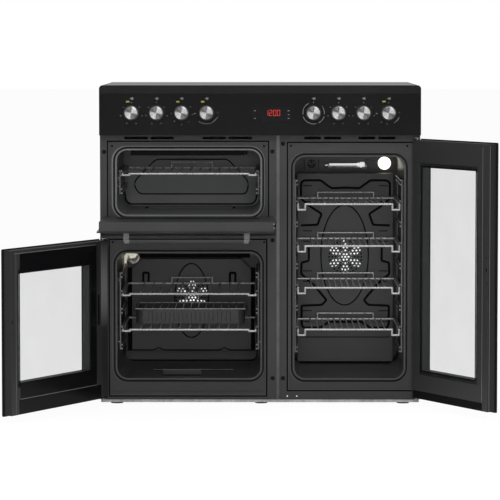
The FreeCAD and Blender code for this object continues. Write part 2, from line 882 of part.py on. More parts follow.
def make_fan(x, z):
    """A disc with radial blades on a shaft that runs back into the motor."""
    y1 = cavity_back_y - fan_wall_gap
    y0 = y1 - fan_disc
    disc = rod(V(x, y0, z), V(x, y1, z), fan_radius)
    hub = rod(V(x, y0 - fan_blade_height, z), V(x, y1, z), fan_hub_radius)
    blades = []
    half_blade = fan_blade_thickness / 2
    for i in range(fan_blade_count):
        blade = box(x + fan_hub_radius - fan_blade_root, x + fan_radius - fan_blade_margin,
                    y0 - fan_blade_height, y0 + fan_blade_sink, z - half_blade, z + half_blade)
        blade.rotate(V(x, 0, z), V(0, 1, 0), i * 360.0 / fan_blade_count)
        blades.append(blade)
    shaft = rod(V(x, y0, z), V(x, cavity_back_y + cavity_wall + shaft_in_motor, z), shaft_radius)
    return fuse([disc, hub, shaft] + blades)


def make_fan_motors():
    motors = []
    for x, z in ((left_middle_x, main_fan_z), (tall_middle_x, tall_fan_z)):
        y0 = cavity_back_y + cavity_wall
        w, h = motor_plate_width / 2, motor_plate_height / 2
        plate = box(x - w, x + w, y0, y0 + motor_plate, z - h, z + h)
        case = rod(V(x, y0, z), V(x, y0 + motor_length, z), motor_radius)
        bore = rod(V(x, y0 - 1, z), V(x, y0 + shaft_in_motor + 1, z), shaft_radius + shaft_play)
        motors.append(cut(fuse([plate, case]), [bore]))
    return Part.Compound(motors)


def make_oven_lamps():
    """One lamp glass on the back wall of the main oven and one on that of the tall oven."""
    places = ((left_cavity_x + lamp_inset, main_cavity_top - main_lamp_drop),
              (tall_cavity_right_x - tall_lamp_inset, tall_cavity_top - tall_lamp_drop))
    lamps = []
    for x, z in places:
        base_y = cavity_back_y - lamp_base_depth
        tip_y = cavity_back_y - lamp_glass_depth
        base = rod(V(x, cavity_back_y, z), V(x, base_y, z), lamp_radius)
        glass = rod(V(x, base_y, z), V(x, tip_y, z), lamp_radius - lamp_base_lip)
        rim = [e for e in glass.Edges if abs(e.CenterOfMass.y - tip_y) < 1e-6]
        lamps.append(fuse([base, glass.makeFillet(lamp_rounding, rim)]))
    return Part.Compound(lamps)


def make_heat_sensor():
    """The round phial of the thermostat, held across the back wall of the tall oven by two clips."""
    x0 = tall_cavity_x + sensor_left_inset
    x1 = x0 + sensor_length
    y = cavity_back_y - sensor_stand_off
    z = tall_cavity_top - sensor_drop
    phial = rod(V(x0, y, z), V(x1, y, z), sensor_radius)
    collar = rod(V(x1, y, z), V(x1 + sensor_collar_length, y, z), sensor_collar)
    clips = []
    half_clip = sensor_radius - clip_margin
    for x in (x0 + clip_inset, x1 - clip_inset):
        clips.append(box(x, x + clip_thickness, y, cavity_back_y, z - half_clip, z + half_clip))
    return fuse([phial, collar] + clips)


# ---------------------------------------------------------------- racks and rails

def rail_x(rack_half):
    return rack_half + rail_outset


def upright_x(rack_half):
    return rail_x(rack_half) + 2 * rail_wire - weld


def make_side_ladder(middle_x, side, rack_half, wall_half, levels, back_y):
    """Two uprights and a pair of rails at each level; short studs hold it off the cavity wall."""
    xr = middle_x + side * rail_x(rack_half)
    xu = middle_x + side * upright_x(rack_half)
    xw = middle_x + side * wall_half
    z0 = levels[0] - rail_drop - rail_wire
    z1 = levels[-1] + rail_rise + rail_wire
    ys = (rail_front_y, back_y)
    pieces = []
    for y in ys:
        pieces.append(rod(V(xu, y, z0), V(xu, y, z1), rail_wire))
        for z in (z0 + rail_end, z1 - rail_end):
            pieces.append(rod(V(xu, y, z), V(xw, y, z), rail_stud_radius))
    for level in levels:
        for z in (level - rail_drop, level + rail_rise):
            pieces.append(rod(V(xr, ys[0] - rail_wire, z), V(xr, ys[1] + rail_wire, z), rail_wire))
    return fuse(pieces)


def make_wire_side_rails():
    left_wall, tall_wall = left_cavity_width / 2, tall_cavity_width / 2
    grill_levels = [grill_rack_z - main_level_pitch, grill_rack_z]
    ladders = []
    for side in (-1, 1):
        ladders.append(make_side_ladder(left_middle_x, side, left_rack_half, left_wall, main_levels,
                                        main_rail_back_y))
        ladders.append(make_side_ladder(left_middle_x, side, left_rack_half, left_wall, grill_levels,
                                        grill_rail_back_y))
        ladders.append(make_side_ladder(tall_middle_x, side, tall_rack_half, tall_wall, tall_levels,
                                        tall_rail_back_y))
    return Part.Compound(ladders)


def make_rack(middle_x, half, back_y, z, bar_pitch, dip, stop_half):
    """A wire shelf: side wires, dipped ends at the front, a raised stop at the back, and bars from front to back."""
    r = rack_wire
    xs = half - r
    x_in = xs - dip_width
    outline = [V(middle_x - xs, rack_front_y, z), V(middle_x - xs, back_y, z),
               V(middle_x + xs, back_y, z), V(middle_x + xs, rack_front_y, z)]
    pieces = [swept_wire(outline, r)]
    for side in (-1, 1):
        x_side, x_dip = middle_x + side * xs, middle_x + side * x_in
        dip_run = [V(x_side, rack_front_y, z), V(x_side, rack_front_y, z - dip),
                   V(x_dip, rack_front_y, z - dip), V(x_dip, rack_front_y, z)]
        pieces += bent_wire(dip_run, r)
        pieces += [Part.makeSphere(r, dip_run[0]), Part.makeSphere(r, dip_run[-1])]
    front = [V(middle_x - x_in, rack_front_y, z), V(middle_x + x_in, rack_front_y, z)]
    stop = [V(middle_x - stop_half, back_y, z), V(middle_x - stop_half, back_y, z + stop_height),
            V(middle_x + stop_half, back_y, z + stop_height), V(middle_x + stop_half, back_y, z)]
    pieces += bent_wire(front, r) + bent_wire(stop, bar_wire)
    bar_count = int((x_in - bar_pitch / 4) / bar_pitch)
    bar_z = z + bar_lift
    bar_start_y, bar_end_y = rack_front_y - bar_overhang, back_y + bar_overhang
    for i in range(-bar_count, bar_count + 1):
        x = middle_x + i * bar_pitch
        pieces.append(rod(V(x, bar_start_y, bar_z), V(x, bar_end_y, bar_z), bar_wire))
    return fuse(pieces)


def make_left_rack(back_y, z):
    return make_rack(left_middle_x, left_rack_half, back_y, z, left_bar_pitch, left_dip, left_stop_half)


def make_tall_rack(z):
    return make_rack(tall_middle_x, tall_rack_half, tall_rack_back_y, z, tall_bar_pitch, tall_dip, tall_stop_half)


def tray_bottom_z():
    return lower_rack_z + bar_lift + bar_wire + fit_gap


def make_roasting_tray():
    """A deep enamelled tray with a turned-out rim, standing on the lower rack."""
    z0 = tray_bottom_z()
    z1 = z0 + tray_height
    x0, x1 = left_middle_x - tray_half, left_middle_x + tray_half
    w = tray_wall
    shell = round_edges(box(x0, x1, tray_front_y, tray_back_y, z0, z1), 2, tray_radius)
    inside = round_edges(box(x0 + w, x1 - w, tray_front_y + w, tray_back_y - w, z0 + w, z1 + 1), 2, tray_radius - w)
    m = tray_rim
    rim = round_edges(box(x0 - m, x1 + m, tray_front_y - m, tray_back_y + m, z1 - w, z1), 2, tray_radius + m)
    return cut(shell.fuse(rim), [inside])


def make_tray_grid():
    """The wire grid that lies on the rim of the tray."""
    r = grid_wire
    z = tray_bottom_z() + tray_height + r
    x0, x1 = left_middle_x - tray_half - r / 2, left_middle_x + tray_half + r / 2
    y0, y1 = tray_front_y - r / 2, tray_back_y + r / 2
    corners = [V(x0, y0, z), V(x1, y0, z), V(x1, y1, z), V(x0, y1, z)]
    pieces = [rod(a, b, r) for a, b in zip(corners, corners[1:] + corners[:1])]
    pieces += [Part.makeSphere(r, c) for c in corners]
    count = int(tray_half / grid_pitch)
    for i in range(-count, count + 1):
        x = left_middle_x + i * grid_pitch
        pieces.append(rod(V(x, y0, z), V(x, y1, z), grid_bar_wire))
    return fuse(pieces)


def make_pan_handle():
    """The lift-off handle of the grill pan, lying on the floor of the main oven."""
    x0 = left_cavity_x + grip_left_inset
    x1 = x0 + grip_length
    z0 = main_cavity_z + fit_gap
    z1 = z0 + grip_height
    y = grip_front_y + grip_depth / 2
    grip = round_edges(box(x0, x1, grip_front_y, grip_front_y + grip_depth, z0, z1), 0, grip_rounding)
    zp = z1 - prong_wire - prong_drop
    elbow = V(x1 + right_prong, y, zp)
    left = rod(V(x0 - left_prong, y, zp), V(x0 + prong_in_grip, y, zp), prong_wire)
    right = bent_wire([V(x1 - prong_in_grip, y, zp), elbow, elbow + V(0, prong_hook, 0)], prong_wire)
    return fuse([grip, left] + right)


# ---------------------------------------------------------------- doors

def make_bar_handle(middle_x, z, length):
    """A rounded bar on two feet, standing off the door's outer glass."""
    y_glass = door_outer_y
    y_bar = y_glass - handle_gap
    h = bar_height / 2
    x0, x1 = middle_x - length / 2, middle_x + length / 2
    bar = round_edges(box(x0, x1, y_bar - bar_depth, y_bar, z - h, z + h), 0, bar_rounding)
    pieces = [bar]
    for side in (-1, 1):
        outer = middle_x + side * (length / 2 + handle_foot_outset)
        inner = outer - side * handle_foot_width
        fh = handle_foot_height / 2
        pieces.append(box(min(outer, inner), max(outer, inner), y_bar - bar_depth / 2, y_glass, z - fh, z + fh))
    return fuse(pieces)


def make_side_door(side, free_x, z0, z1, stiles, window_z, handle_drop, length):
    """One side-hung door, shut. side is -1 for the left door and +1 for the right one."""
    hinge_x = side * door_hinge_x
    xa, xb = min(hinge_x, free_x), max(hinge_x, free_x)
    glass = rounded_prism(xa, xb, z0, z1, door_outer_y, glass_back_y, glass_corner)

    hinge_stile, free_stile = stiles
    free_edge = free_x + side * glass_inset
    fa, fb = min(hinge_x, free_edge), max(hinge_x, free_edge)
    fz0, fz1 = z0 + glass_inset, z1 - glass_inset
    frame = box(fa, fb, glass_back_y, door_inner_y, fz0, fz1)
    window_hinge_x = hinge_x - side * hinge_stile
    window_free_x = free_x + side * free_stile
    wa, wb = min(window_hinge_x, window_free_x), max(window_hinge_x, window_free_x)
    wz0, wz1 = z0 + window_z[0], z1 - window_z[1]

    # The pane lies in a rebate on the door's inner face; behind that face the frame is hollow, but for the
    # rim of the window and the two stiles.
    s, lap = door_skin, pane_lap
    rebate_y = door_inner_y - pane_thickness
    skin_y = rebate_y - s
    window = rounded_prism(wa, wb, wz0, wz1, glass_back_y - 1, door_inner_y + 1, glass_corner)
    rebate = box(wa - lap, wb + lap, rebate_y, door_inner_y + 1, wz0 - lap, wz1 + lap)
    hollow = box(fa + door_rail_stop, fb - door_rail_stop, glass_back_y - 1, skin_y, fz0 + s, fz1 - s)
    hollow = hollow.cut(box(wa - s, wb + s, glass_back_y - 2, skin_y + 1, wz0 - s, wz1 + s))
    axis_x = side * side_axis_x
    reach = pin_length + fit_gap
    bores = [Part.makeCylinder(pin_radius + pin_play, reach + 1, V(axis_x, side_axis_y, fz0 - 1)),
             Part.makeCylinder(pin_radius + pin_play, reach + 1, V(axis_x, side_axis_y, fz1 - reach))]
    frame = cut(frame, [window, rebate, hollow] + bores)

    g = fit_gap
    pane = box(wa - lap + g, wb + lap - g, rebate_y, door_inner_y - pane_setback, wz0 - lap + g, wz1 + lap - g)
    handle = make_bar_handle((hinge_x + free_x) / 2, z1 - handle_drop, length)
    return glass, frame, pane, handle


def make_grill_door():
    """The drop-down door, shut: its glass hangs below the hinge and its frame is set in from both ends."""
    xa, xb = -door_hinge_x, left_door_free_x
    glass = rounded_prism(xa, xb, grill_door_bottom, grill_door_top, door_outer_y, glass_back_y, glass_corner)
    fa, fb = xa + grill_frame_inset, xb - grill_frame_inset
    fz0 = grill_axis_z - grill_frame_below_axis
    fz1 = grill_door_top - glass_inset
    frame = box(fa, fb, glass_back_y, door_inner_y, fz0, fz1)
    s = door_skin
    pocket_end = pin_length + grill_pocket_wall
    pocket = box(fa + pocket_end, fb - pocket_end, glass_back_y - 1, door_inner_y - s, fz0 + s, fz1 - s)
    reach = pin_length + fit_gap
    bores = [rod(V(fa - 1, grill_axis_y, grill_axis_z), V(fa + reach, grill_axis_y, grill_axis_z),
                 pin_radius + pin_play),
             rod(V(fb + 1, grill_axis_y, grill_axis_z), V(fb - reach, grill_axis_y, grill_axis_z),
                 pin_radius + pin_play)]
    frame = cut(frame, [pocket] + bores)
    handle = make_bar_handle((xa + xb) / 2, grill_door_top - grill_handle_drop, bar_length)
    return glass, frame, handle


def make_side_bracket(side, z_plate, z_door_edge, direction):
    """A flat hinge plate on the front frame, with its pin. direction is -1 when the pin points down."""
    x_axis = side * side_axis_x
    xa, xb = sorted((side * half_width, side * (half_width - bracket_width)))
    plate = box(xa, xb, side_axis_y, frame_y, z_plate, z_plate + bracket_thickness)
    nose = Part.makeCylinder(bracket_nose, bracket_thickness, V(x_axis, side_axis_y, z_plate))
    tip = z_door_edge + direction * pin_length
    start = z_plate + bracket_thickness / 2
    pin = rod(V(x_axis, side_axis_y, start), V(x_axis, side_axis_y, tip), pin_radius)
    return fuse([plate, nose, pin])


def make_grill_bracket(side, x_frame):
    """The plate beside one end of the grill door's frame, above the swing of the glass, with its pin."""
    x0 = x_frame + side * hand_gap
    x1 = x0 + side * bracket_thickness
    xa, xb = min(x0, x1), max(x0, x1)
    z = grill_axis_z
    plate = box(xa, xb, grill_axis_y, frame_y, z - grill_nose, z + grill_nose)
    nose = rod(V(xa, grill_axis_y, z), V(xb, grill_axis_y, z), grill_nose)
    pin = rod(V(x1, grill_axis_y, z), V(x_frame - side * pin_length, grill_axis_y, z), pin_radius)
    return fuse([plate, nose, pin])


def make_hinge_brackets():
    brackets = []
    for side, z0, z1 in ((-1, main_door_bottom, main_door_top), (1, tall_door_bottom, tall_door_top)):
        upper = z1 + hand_gap
        lower = z0 - hand_gap - bracket_thickness
        brackets.append(make_side_bracket(side, upper, z1 - glass_inset, -1))
        brackets.append(make_side_bracket(side, lower, z0 + glass_inset, 1))
    brackets.append(make_grill_bracket(-1, -door_hinge_x + grill_frame_inset))
    brackets.append(make_grill_bracket(1, left_door_free_x - grill_frame_inset))
    return Part.Compound(brackets)


def save_doors():
    glass, frame, pane, handle = make_side_door(
        -1, left_door_free_x, main_door_bottom, main_door_top, (window_hinge_stile, window_free_stile),
        (main_window_below, main_window_above), main_handle_drop, bar_length)
    save("main_door_outer_glass", turn_left_door(glass))
    save("main_door_frame", turn_left_door(frame))
    save("main_door_inner_glass", turn_left_door(pane))
    save("main_door_handle", turn_left_door(handle))
    glass, frame, pane, handle = make_side_door(
        1, right_door_free_x, tall_door_bottom, tall_door_top, (tall_hinge_stile, tall_free_stile),
        (tall_window_below, tall_window_above), tall_handle_drop, tall_bar_length)
    save("tall_door_outer_glass", turn_right_door(glass))
    save("tall_door_frame", turn_right_door(frame))
    save("tall_door_inner_glass", turn_right_door(pane))
    save("tall_door_handle", turn_right_door(handle))
    glass, frame, handle = make_grill_door()
    save("grill_door_outer_glass", turn_grill_door(glass))
    save("grill_door_frame", turn_grill_door(frame))
    save("grill_door_handle", turn_grill_door(handle))


def save_body():
    save("base_frame", make_base_frame())
    save("feet", make_feet())
    save("plinth_screws", make_plinth_screws())
    save("side_panels", make_side_panels())
    save("rear_panel", make_rear_panel())
    save("terminal_box", make_terminal_box())
    save("front_frame_left", make_front_frame_left())
    save("front_frame_right", make_front_frame_right())
    save("centre_trim", make_centre_trim())
    save("door_buffers", make_door_buffers())
    save("hinge_brackets", make_hinge_brackets())
    save("door_seals", make_door_seals())


def save_controls_and_hob():
    save("control_panel", make_control_panel())
    save("display_window", make_display_window())
    save("indicator_lamps", make_indicator_lamps())
    save("heat_regulators", make_heat_regulators())
    for number, x in enumerate(knob_xs, 1):
        save("knob_%d" % number, make_knob(x))
    save("hob_trim", make_hob_trim())
    save("hob_glass", make_hob_glass())
    save("hob_heaters", make_hob_heaters())


def save_ovens():
    save("grill_cavity", make_grill_cavity())
    save("main_cavity", make_main_cavity())
    save("tall_cavity", make_tall_cavity())
    save("grill_element", make_grill_element())
    save("ring_elements", make_ring_elements())
    save("fan_covers", make_fan_covers())
    save("fan_motors", make_fan_motors())
    save("main_fan", make_fan(left_middle_x, main_fan_z))
    save("tall_fan", make_fan(tall_middle_x, tall_fan_z))
    save("oven_lamps", make_oven_lamps())
    save("heat_sensor", make_heat_sensor())
    save("wire_side_rails", make_wire_side_rails())
    save("grill_rack", make_left_rack(grill_rack_back_y, grill_rack_z))
    save("main_rack_upper", make_left_rack(main_rack_back_y, upper_rack_z))
    save("main_rack_lower", make_left_rack(main_rack_back_y, lower_rack_z))
    for number, level in enumerate(tall_rack_levels, 1):
        save("tall_rack_%d" % number, make_tall_rack(tall_levels[level]))
    save("roasting_tray", make_roasting_tray())
    save("tray_grid", make_tray_grid())
    save("pan_handle", make_pan_handle())


os.makedirs("parts", exist_ok=True)
save_body()
save_controls_and_hob()
save_ovens()
save_doors()
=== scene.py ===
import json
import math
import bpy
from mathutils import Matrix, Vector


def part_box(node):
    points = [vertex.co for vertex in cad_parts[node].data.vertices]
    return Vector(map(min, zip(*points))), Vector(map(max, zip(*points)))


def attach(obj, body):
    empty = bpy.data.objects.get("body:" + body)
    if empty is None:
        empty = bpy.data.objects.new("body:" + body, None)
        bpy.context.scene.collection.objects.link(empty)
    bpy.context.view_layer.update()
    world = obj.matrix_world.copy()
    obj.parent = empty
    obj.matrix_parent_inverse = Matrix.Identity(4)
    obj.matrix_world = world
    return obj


bl_info = {
    "name": "Range cooker looks",
    "version": (1, 0, 0),
    "blender": (4, 5, 0),
    "location": "3D View > Sidebar > Cooker",
    "description": "Finishes, prints and trims of a free-standing range cooker, and the stage it stands on",
    "category": "Object",
}

import bpy
from bpy.props import FloatProperty, FloatVectorProperty, IntProperty, PointerProperty, StringProperty
from mathutils import Matrix, Vector

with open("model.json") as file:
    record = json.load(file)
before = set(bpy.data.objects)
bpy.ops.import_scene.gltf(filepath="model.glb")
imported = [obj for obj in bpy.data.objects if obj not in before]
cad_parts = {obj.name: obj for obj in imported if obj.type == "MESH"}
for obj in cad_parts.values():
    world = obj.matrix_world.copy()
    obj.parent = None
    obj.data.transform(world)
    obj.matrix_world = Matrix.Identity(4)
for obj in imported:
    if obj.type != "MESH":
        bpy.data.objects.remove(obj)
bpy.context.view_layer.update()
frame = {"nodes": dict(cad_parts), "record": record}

MM = 0.001

# ---- places, in millimetres, in the frame of the CAD model ----
PANEL_Y = -300.0
KNOB_Z = 823.3
KNOB_XS = [-359.5, -289.5, -219.5, -149.5, 149.5, 219.5, 289.5, 359.5]
KNOB_FRONT_Y = -322.5
MAIN_MIDDLE_X, MAIN_COVER_Y, MAIN_FAN_Z = -200.7, 172.0, 264.5
TALL_MIDDLE_X, TALL_COVER_Y, TALL_FAN_Z = 251.45, 135.0, 388.0
CAVITY_BACK_Y, FAN_Y, STAR_GAP = 200.0, 183.0, 3.0
DOOR_INNER_Y = -262.0
HINGE_Y = -275.0
HINGE_X = 442.0
SIDE_DOOR_ANGLE = 119.0
MAIN_WINDOW = (-356.0, -1.0, 106.0, 401.0)
TALL_WINDOW = (123.8, 399.1, 102.0, 671.5)
# Middle across and in depth, and radius, of each printed ring on the hob.
HOB_ZONES = [(-300.0, -130.0, 90.0), (-300.0, 140.0, 72.5), (0.0, 10.0, 115.0),
             (300.0, 140.0, 90.0), (300.0, -130.0, 72.5)]
HOB_RING_WIDTH = 1.2
# Front and back of the prints on the panel, in the clock and round the windows, and of the painted shadow and
# painted highlight in the grooves on the front frames.
PANEL_PRINT = (PANEL_Y - 0.1, PANEL_Y + 0.1)
CLOCK_PRINT = (PANEL_Y - 1.0, PANEL_Y - 0.8)
GROOVE_DEPTHS = (-260.35, -259.9)
BORDER_DEPTHS = (DOOR_INNER_Y - 0.3, DOOR_INNER_Y + 0.1)
BORDER_WIDTH = 5.0
LAMP_PLATE_Y = 181.0
SENSOR_Y, SENSOR_Z = 186.0, 657.0

# ---- other named values ----
WHITE = (1.0, 1.0, 1.0, 1.0)
PRINT_EDGE = 0.0001
WINDOW_CLEARNESS = 0.92
INNER_PANE_ALPHA = 0.07
SMOOTH_ANGLE = math.radians(35.0)
FLOOR_SIZE = 400.0
FLOOR_GLOW, FLOOR_GLOW_SHARE = 1.04, 0.9
WORLD_LEVEL = 0.40


def point(x, y, z):
    """A place in metres from millimetres."""
    return Vector((x * MM, y * MM, z * MM))


# ---- sizes and colours a user would change

class CookerSizes(bpy.types.PropertyGroup):
    cap_radius: FloatProperty(name="Knob cap radius", description="Radius of the silver cap on a knob",
        default=0.0178, subtype="DISTANCE", unit="LENGTH")
    mark_width: FloatProperty(name="Mark width", description="Width of a printed mark round a knob",
        default=0.0009, subtype="DISTANCE", unit="LENGTH")
    emboss_radius: FloatProperty(name="Emboss radius", description="Half the width of a pressed line",
        default=0.0034, subtype="DISTANCE", unit="LENGTH")
    star_blades: IntProperty(name="Star blades", description="Bright blades seen through a fan cover",
        default=6, min=3, max=12)
    clock_text: StringProperty(name="Clock", description="What the clock shows", default="12:00")


class CookerColours(bpy.types.PropertyGroup):
    panel: FloatVectorProperty(name="Panel", description="Gloss black of the control panel",
        subtype="COLOR", size=3, min=0.0, max=1.0, default=(0.0035, 0.0035, 0.0038))
    front: FloatVectorProperty(name="Front frame", description="Grey of the frames round the ovens",
        subtype="COLOR", size=3, min=0.0, max=1.0, default=(0.019, 0.019, 0.020))
    door: FloatVectorProperty(name="Door frame", description="Grey of the doors' inner sides",
        subtype="COLOR", size=3, min=0.0, max=1.0, default=(0.019, 0.019, 0.020))
    enamel: FloatVectorProperty(name="Oven enamel", description="Enamel inside the ovens",
        subtype="COLOR", size=3, min=0.0, max=1.0, default=(0.034, 0.0345, 0.0355))
    silver: FloatVectorProperty(name="Knob silver", description="Brushed face of the knobs",
        subtype="COLOR", size=3, min=0.0, max=1.0, default=(0.36, 0.36, 0.365))
    digits: FloatVectorProperty(name="Digits", description="Glow of the clock",
        subtype="COLOR", size=3, min=0.0, max=1.0, default=(1.0, 0.06, 0.03))


class CookerStage(bpy.types.PropertyGroup):
    distance: FloatProperty(name="Camera distance", description="How far the camera stands from the origin",
        default=8.731, subtype="DISTANCE", unit="LENGTH")
    height: FloatProperty(name="Camera height", description="Height of the camera over the floor",
        default=1.0344, subtype="DISTANCE", unit="LENGTH")
    tilt: FloatProperty(name="Camera tilt", description="How far the camera looks down",
        default=math.radians(4.04), subtype="ANGLE", unit="ROTATION")
    yaw: FloatProperty(name="Camera yaw", description="How far the camera is turned to the left",
        default=math.radians(0.19), subtype="ANGLE", unit="ROTATION")
    lens: FloatProperty(name="Lens", description="Focal length in millimetres on a 36 mm sensor",
        default=217.08)
    key: FloatProperty(name="Key light", description="Power of the large lamp in front, in watts",
        default=90.0)


# ---- shader sums

def even(tone):
    """The same red, green and blue."""
    return (tone, tone, tone)


def opaque(colour, factor=1.0):
    return tuple(min(1.0, channel * factor) for channel in colour) + (1.0,)


def put(tree, socket, value):
    """Links an output to a socket, or sets the socket to a plain value."""
    if isinstance(value, Signal):
        value = value.socket
    if isinstance(value, bpy.types.NodeSocket):
        tree.links.new(value, socket)
    else:
        socket.default_value = value


def add_node(tree, kind, settings=None, values=None):
    """Any node: its settings first, then the values or links of its sockets."""
    made = tree.nodes.new(kind)
    for name, value in (settings or {}).items():
        if name == "stops":
            for element, (where, tone) in zip(made.color_ramp.elements, value):
                element.position = where
                element.color = opaque(even(tone))
        else:
            setattr(made, name, value)
    for socket, value in (values or {}).items():
        put(tree, made.inputs[socket], value)
    return made


class Signal:
    """A node's output that can be written in sums."""

    def __init__(self, finish, socket):
        self.finish = finish
        self.socket = socket

    def maths(self, operation, other=0.0, swapped=False):
        """This signal and another value through one operation of the maths node."""
        first, second = (other, self) if swapped else (self, other)
        made = self.finish.node("ShaderNodeMath", {"operation": operation}, {0: first, 1: second})
        return Signal(self.finish, made.outputs[0])

    def __add__(self, other):
        return self.maths("ADD", other)

    def __sub__(self, other):
        return self.maths("SUBTRACT", other)

    def __rsub__(self, other):
        return self.maths("SUBTRACT", other, True)

    def __mul__(self, other):
        return self.maths("MULTIPLY", other)

    def __pow__(self, other):
        return self.maths("POWER", other)

    def __gt__(self, other):
        return self.maths("GREATER_THAN", other)

    def __lt__(self, other):
        return self.maths("LESS_THAN", other)

    __radd__, __rmul__ = __add__, __mul__

    def between(self, low, high):
        return (self > low) * (self < high)


class Finish:
    """A procedural material in the making."""

    def __init__(self, name, roughness=0.4, metallic=0.0, shine=0.5, glow=0.0):
        self.material = bpy.data.materials.new(name)
        self.material.use_nodes = True
        self.tree = self.material.node_tree
        self.shader = self.tree.nodes["Principled BSDF"]
        for socket, value in (("Roughness", roughness), ("Metallic", metallic),
                              ("Specular IOR Level", shine), ("Emission Strength", glow)):
            self.shader.inputs[socket].default_value = value
        self.place = self.node("ShaderNodeTexCoord").outputs["Object"]

    def node(self, kind, settings=None, values=None):
        return add_node(self.tree, kind, settings, values)

    def feed(self, socket, value):
        put(self.tree, self.shader.inputs[socket], value)

    def noise(self, scale, detail=2.0):
        made = self.node("ShaderNodeTexNoise", None,
                         {"Vector": self.place, "Scale": scale, "Detail": detail})
        return Signal(self, made.outputs[0])

    def ramp(self, value, low, high):
        made = self.node("ShaderNodeValToRGB", {"stops": [(low, 0.0), (high, 1.0)]}, {0: value})
        return Signal(self, made.outputs[0])

    def axes(self, place=None):
        made = self.node("ShaderNodeSeparateXYZ", None, {0: place or self.place})
        return [Signal(self, socket) for socket in made.outputs]

    def turned_place(self, angle, centre):
        """Object coordinates turned about an upright axis, to read a door as if it were shut."""
        turn = Matrix.Rotation(angle, 3, "Z")
        shift = centre - turn @ centre
        made = self.node("ShaderNodeMapping", None,
                         {"Vector": self.place, "Location": tuple(shift), "Rotation": (0.0, 0.0, angle)})
        return made.outputs[0]

    def blend(self, factor, first, second):
        """A colour between two colours."""
        made = self.node("ShaderNodeMix", {"data_type": "RGBA"}, {0: factor, 6: first, 7: second})
        return made.outputs[2]

    def shades(self, factor, colour, low, high):
        """A colour between a darker and a lighter shade of itself."""
        return self.blend(factor, opaque(colour, low), opaque(colour, high))

    def bump(self, height, strength, distance):
        made = self.node("ShaderNodeBump", None,
                         {"Strength": strength, "Distance": distance, "Height": height})
        self.feed("Normal", made.outputs[0])


def coated(name, colour, roughness, grain=900.0, variation=0.25, bump=0.04, shine=0.5):
    """Paint, enamel or plastic: a fine grain, a slow drift in tone and gloss, and a slight orange peel."""
    finish = Finish(name, roughness, shine=shine)
    fine = finish.noise(grain, 3.0)
    slow = finish.noise(9.0, 2.0)
    mixed = finish.ramp(fine * 0.6 + slow * 0.4, 0.35, 0.65)
    finish.feed("Base Color", finish.shades(mixed, colour, 1.0 - variation, 1.0 + variation))
    finish.feed("Roughness", roughness + (slow - 0.5) * 0.12)
    finish.bump(fine, bump, 0.0004)
    return finish.material


def bare_metal(name, colour, roughness, grain=260.0, variation=0.18, metallic=1.0):
    """Steel or zinc: metal whose tone and gloss vary in patches."""
    finish = Finish(name, roughness, metallic)
    patches = finish.noise(grain, 3.0)
    slow = finish.noise(24.0, 2.0)
    mixed = finish.ramp(patches * 0.5 + slow * 0.5, 0.35, 0.65)
    finish.feed("Base Color", finish.shades(mixed, colour, 1.0 - variation, 1.0 + variation))
    finish.feed("Roughness", roughness + (patches - 0.5) * 0.15)
    finish.bump(patches, 0.03, 0.0003)
    return finish.material


def door_outer_glass(name, side, window):
    """Black printed glass, clear in the window. The print is read as if the door were shut."""
    finish = Finish(name, 0.09, shine=0.08)
    angle = math.radians(SIDE_DOOR_ANGLE) * -side
    place = finish.turned_place(angle, point(side * HINGE_X, HINGE_Y, 0.0))
    x, _, z = finish.axes(place)
    x0, x1, z0, z1 = [value * MM for value in window]
    clear = x.between(x0, x1) * z.between(z0, z1)
    smudge = finish.noise(14.0, 3.0)
    finish.feed("Base Color", finish.blend(smudge, (0.006, 0.006, 0.007, 1.0), (0.012, 0.012, 0.013, 1.0)))
    finish.feed("Alpha", 1.0 - WINDOW_CLEARNESS * clear)
    finish.feed("Roughness", 0.07 + smudge * 0.05)
    return finish.material


def door_paint(name, colour, side):
    """Grey on the door's inner face, and painted shadow: near-black on the sides of its frame, where shade
    falls.
    """
    finish = Finish(name, 0.45)
    angle = math.radians(SIDE_DOOR_ANGLE) * -side
    _, y, _ = finish.axes(finish.turned_place(angle, point(side * HINGE_X, HINGE_Y, 0.0)))
    face = y > (DOOR_INNER_Y - 0.8) * MM
    fine = finish.noise(1100.0, 3.0)
    grey = finish.shades(fine, colour, 0.8, 1.2)
    # Painted shadow: near-black on the frame's sides in place of the grey paint.
    finish.feed("Base Color", finish.blend(face, (0.003, 0.003, 0.003, 1.0), grey))
    finish.feed("Roughness", 0.40 + fine * 0.1)
    return finish.material


def handle_bar(name):
    """A dark satin bar whose feet are lighter."""
    finish = Finish(name, 0.34)
    x, _, _ = finish.axes()
    fine = finish.noise(900.0, 3.0)
    feet = (x < -0.358) + (x > -0.044)
    dark = finish.blend(fine, (0.009, 0.009, 0.009, 1.0), (0.014, 0.014, 0.014, 1.0))
    finish.feed("Base Color", finish.blend(feet, dark, (0.10, 0.10, 0.10, 1.0)))
    finish.feed("Roughness", 0.30 + fine * 0.1)
    return finish.material


def clear_pane(name, alpha):
    """Inner glass: nearly clear, with faint smudges."""
    finish = Finish(name, 0.05, shine=0.12)
    smudge = finish.noise(11.0, 3.0)
    finish.feed("Base Color", finish.blend(smudge, (0.10, 0.11, 0.11, 1.0), (0.16, 0.17, 0.17, 1.0)))
    finish.feed("Alpha", alpha + (smudge - 0.5) * 0.05)
    return finish.material


def hob_glass():
    """Black ceramic glass with a thin printed ring round each heater."""
    finish = Finish("hob_ceramic", 0.12, shine=0.4)
    x, y, _ = finish.axes()
    rings = None
    for cx, cy, radius in HOB_ZONES:
        dx, dy = x - cx * MM, y - cy * MM
        distance = (dx * dx + dy * dy) ** 0.5
        ring = distance.between((radius - HOB_RING_WIDTH) * MM, radius * MM)
        rings = ring if rings is None else rings + ring
    grain = finish.noise(1200.0, 2.0)
    finish.feed("Base Color", finish.blend(rings, (0.010, 0.010, 0.011, 1.0), (0.22, 0.22, 0.22, 1.0)))
    finish.feed("Roughness", 0.10 + grain * 0.10)
    finish.bump(grain, 0.02, 0.0002)
    return finish.material


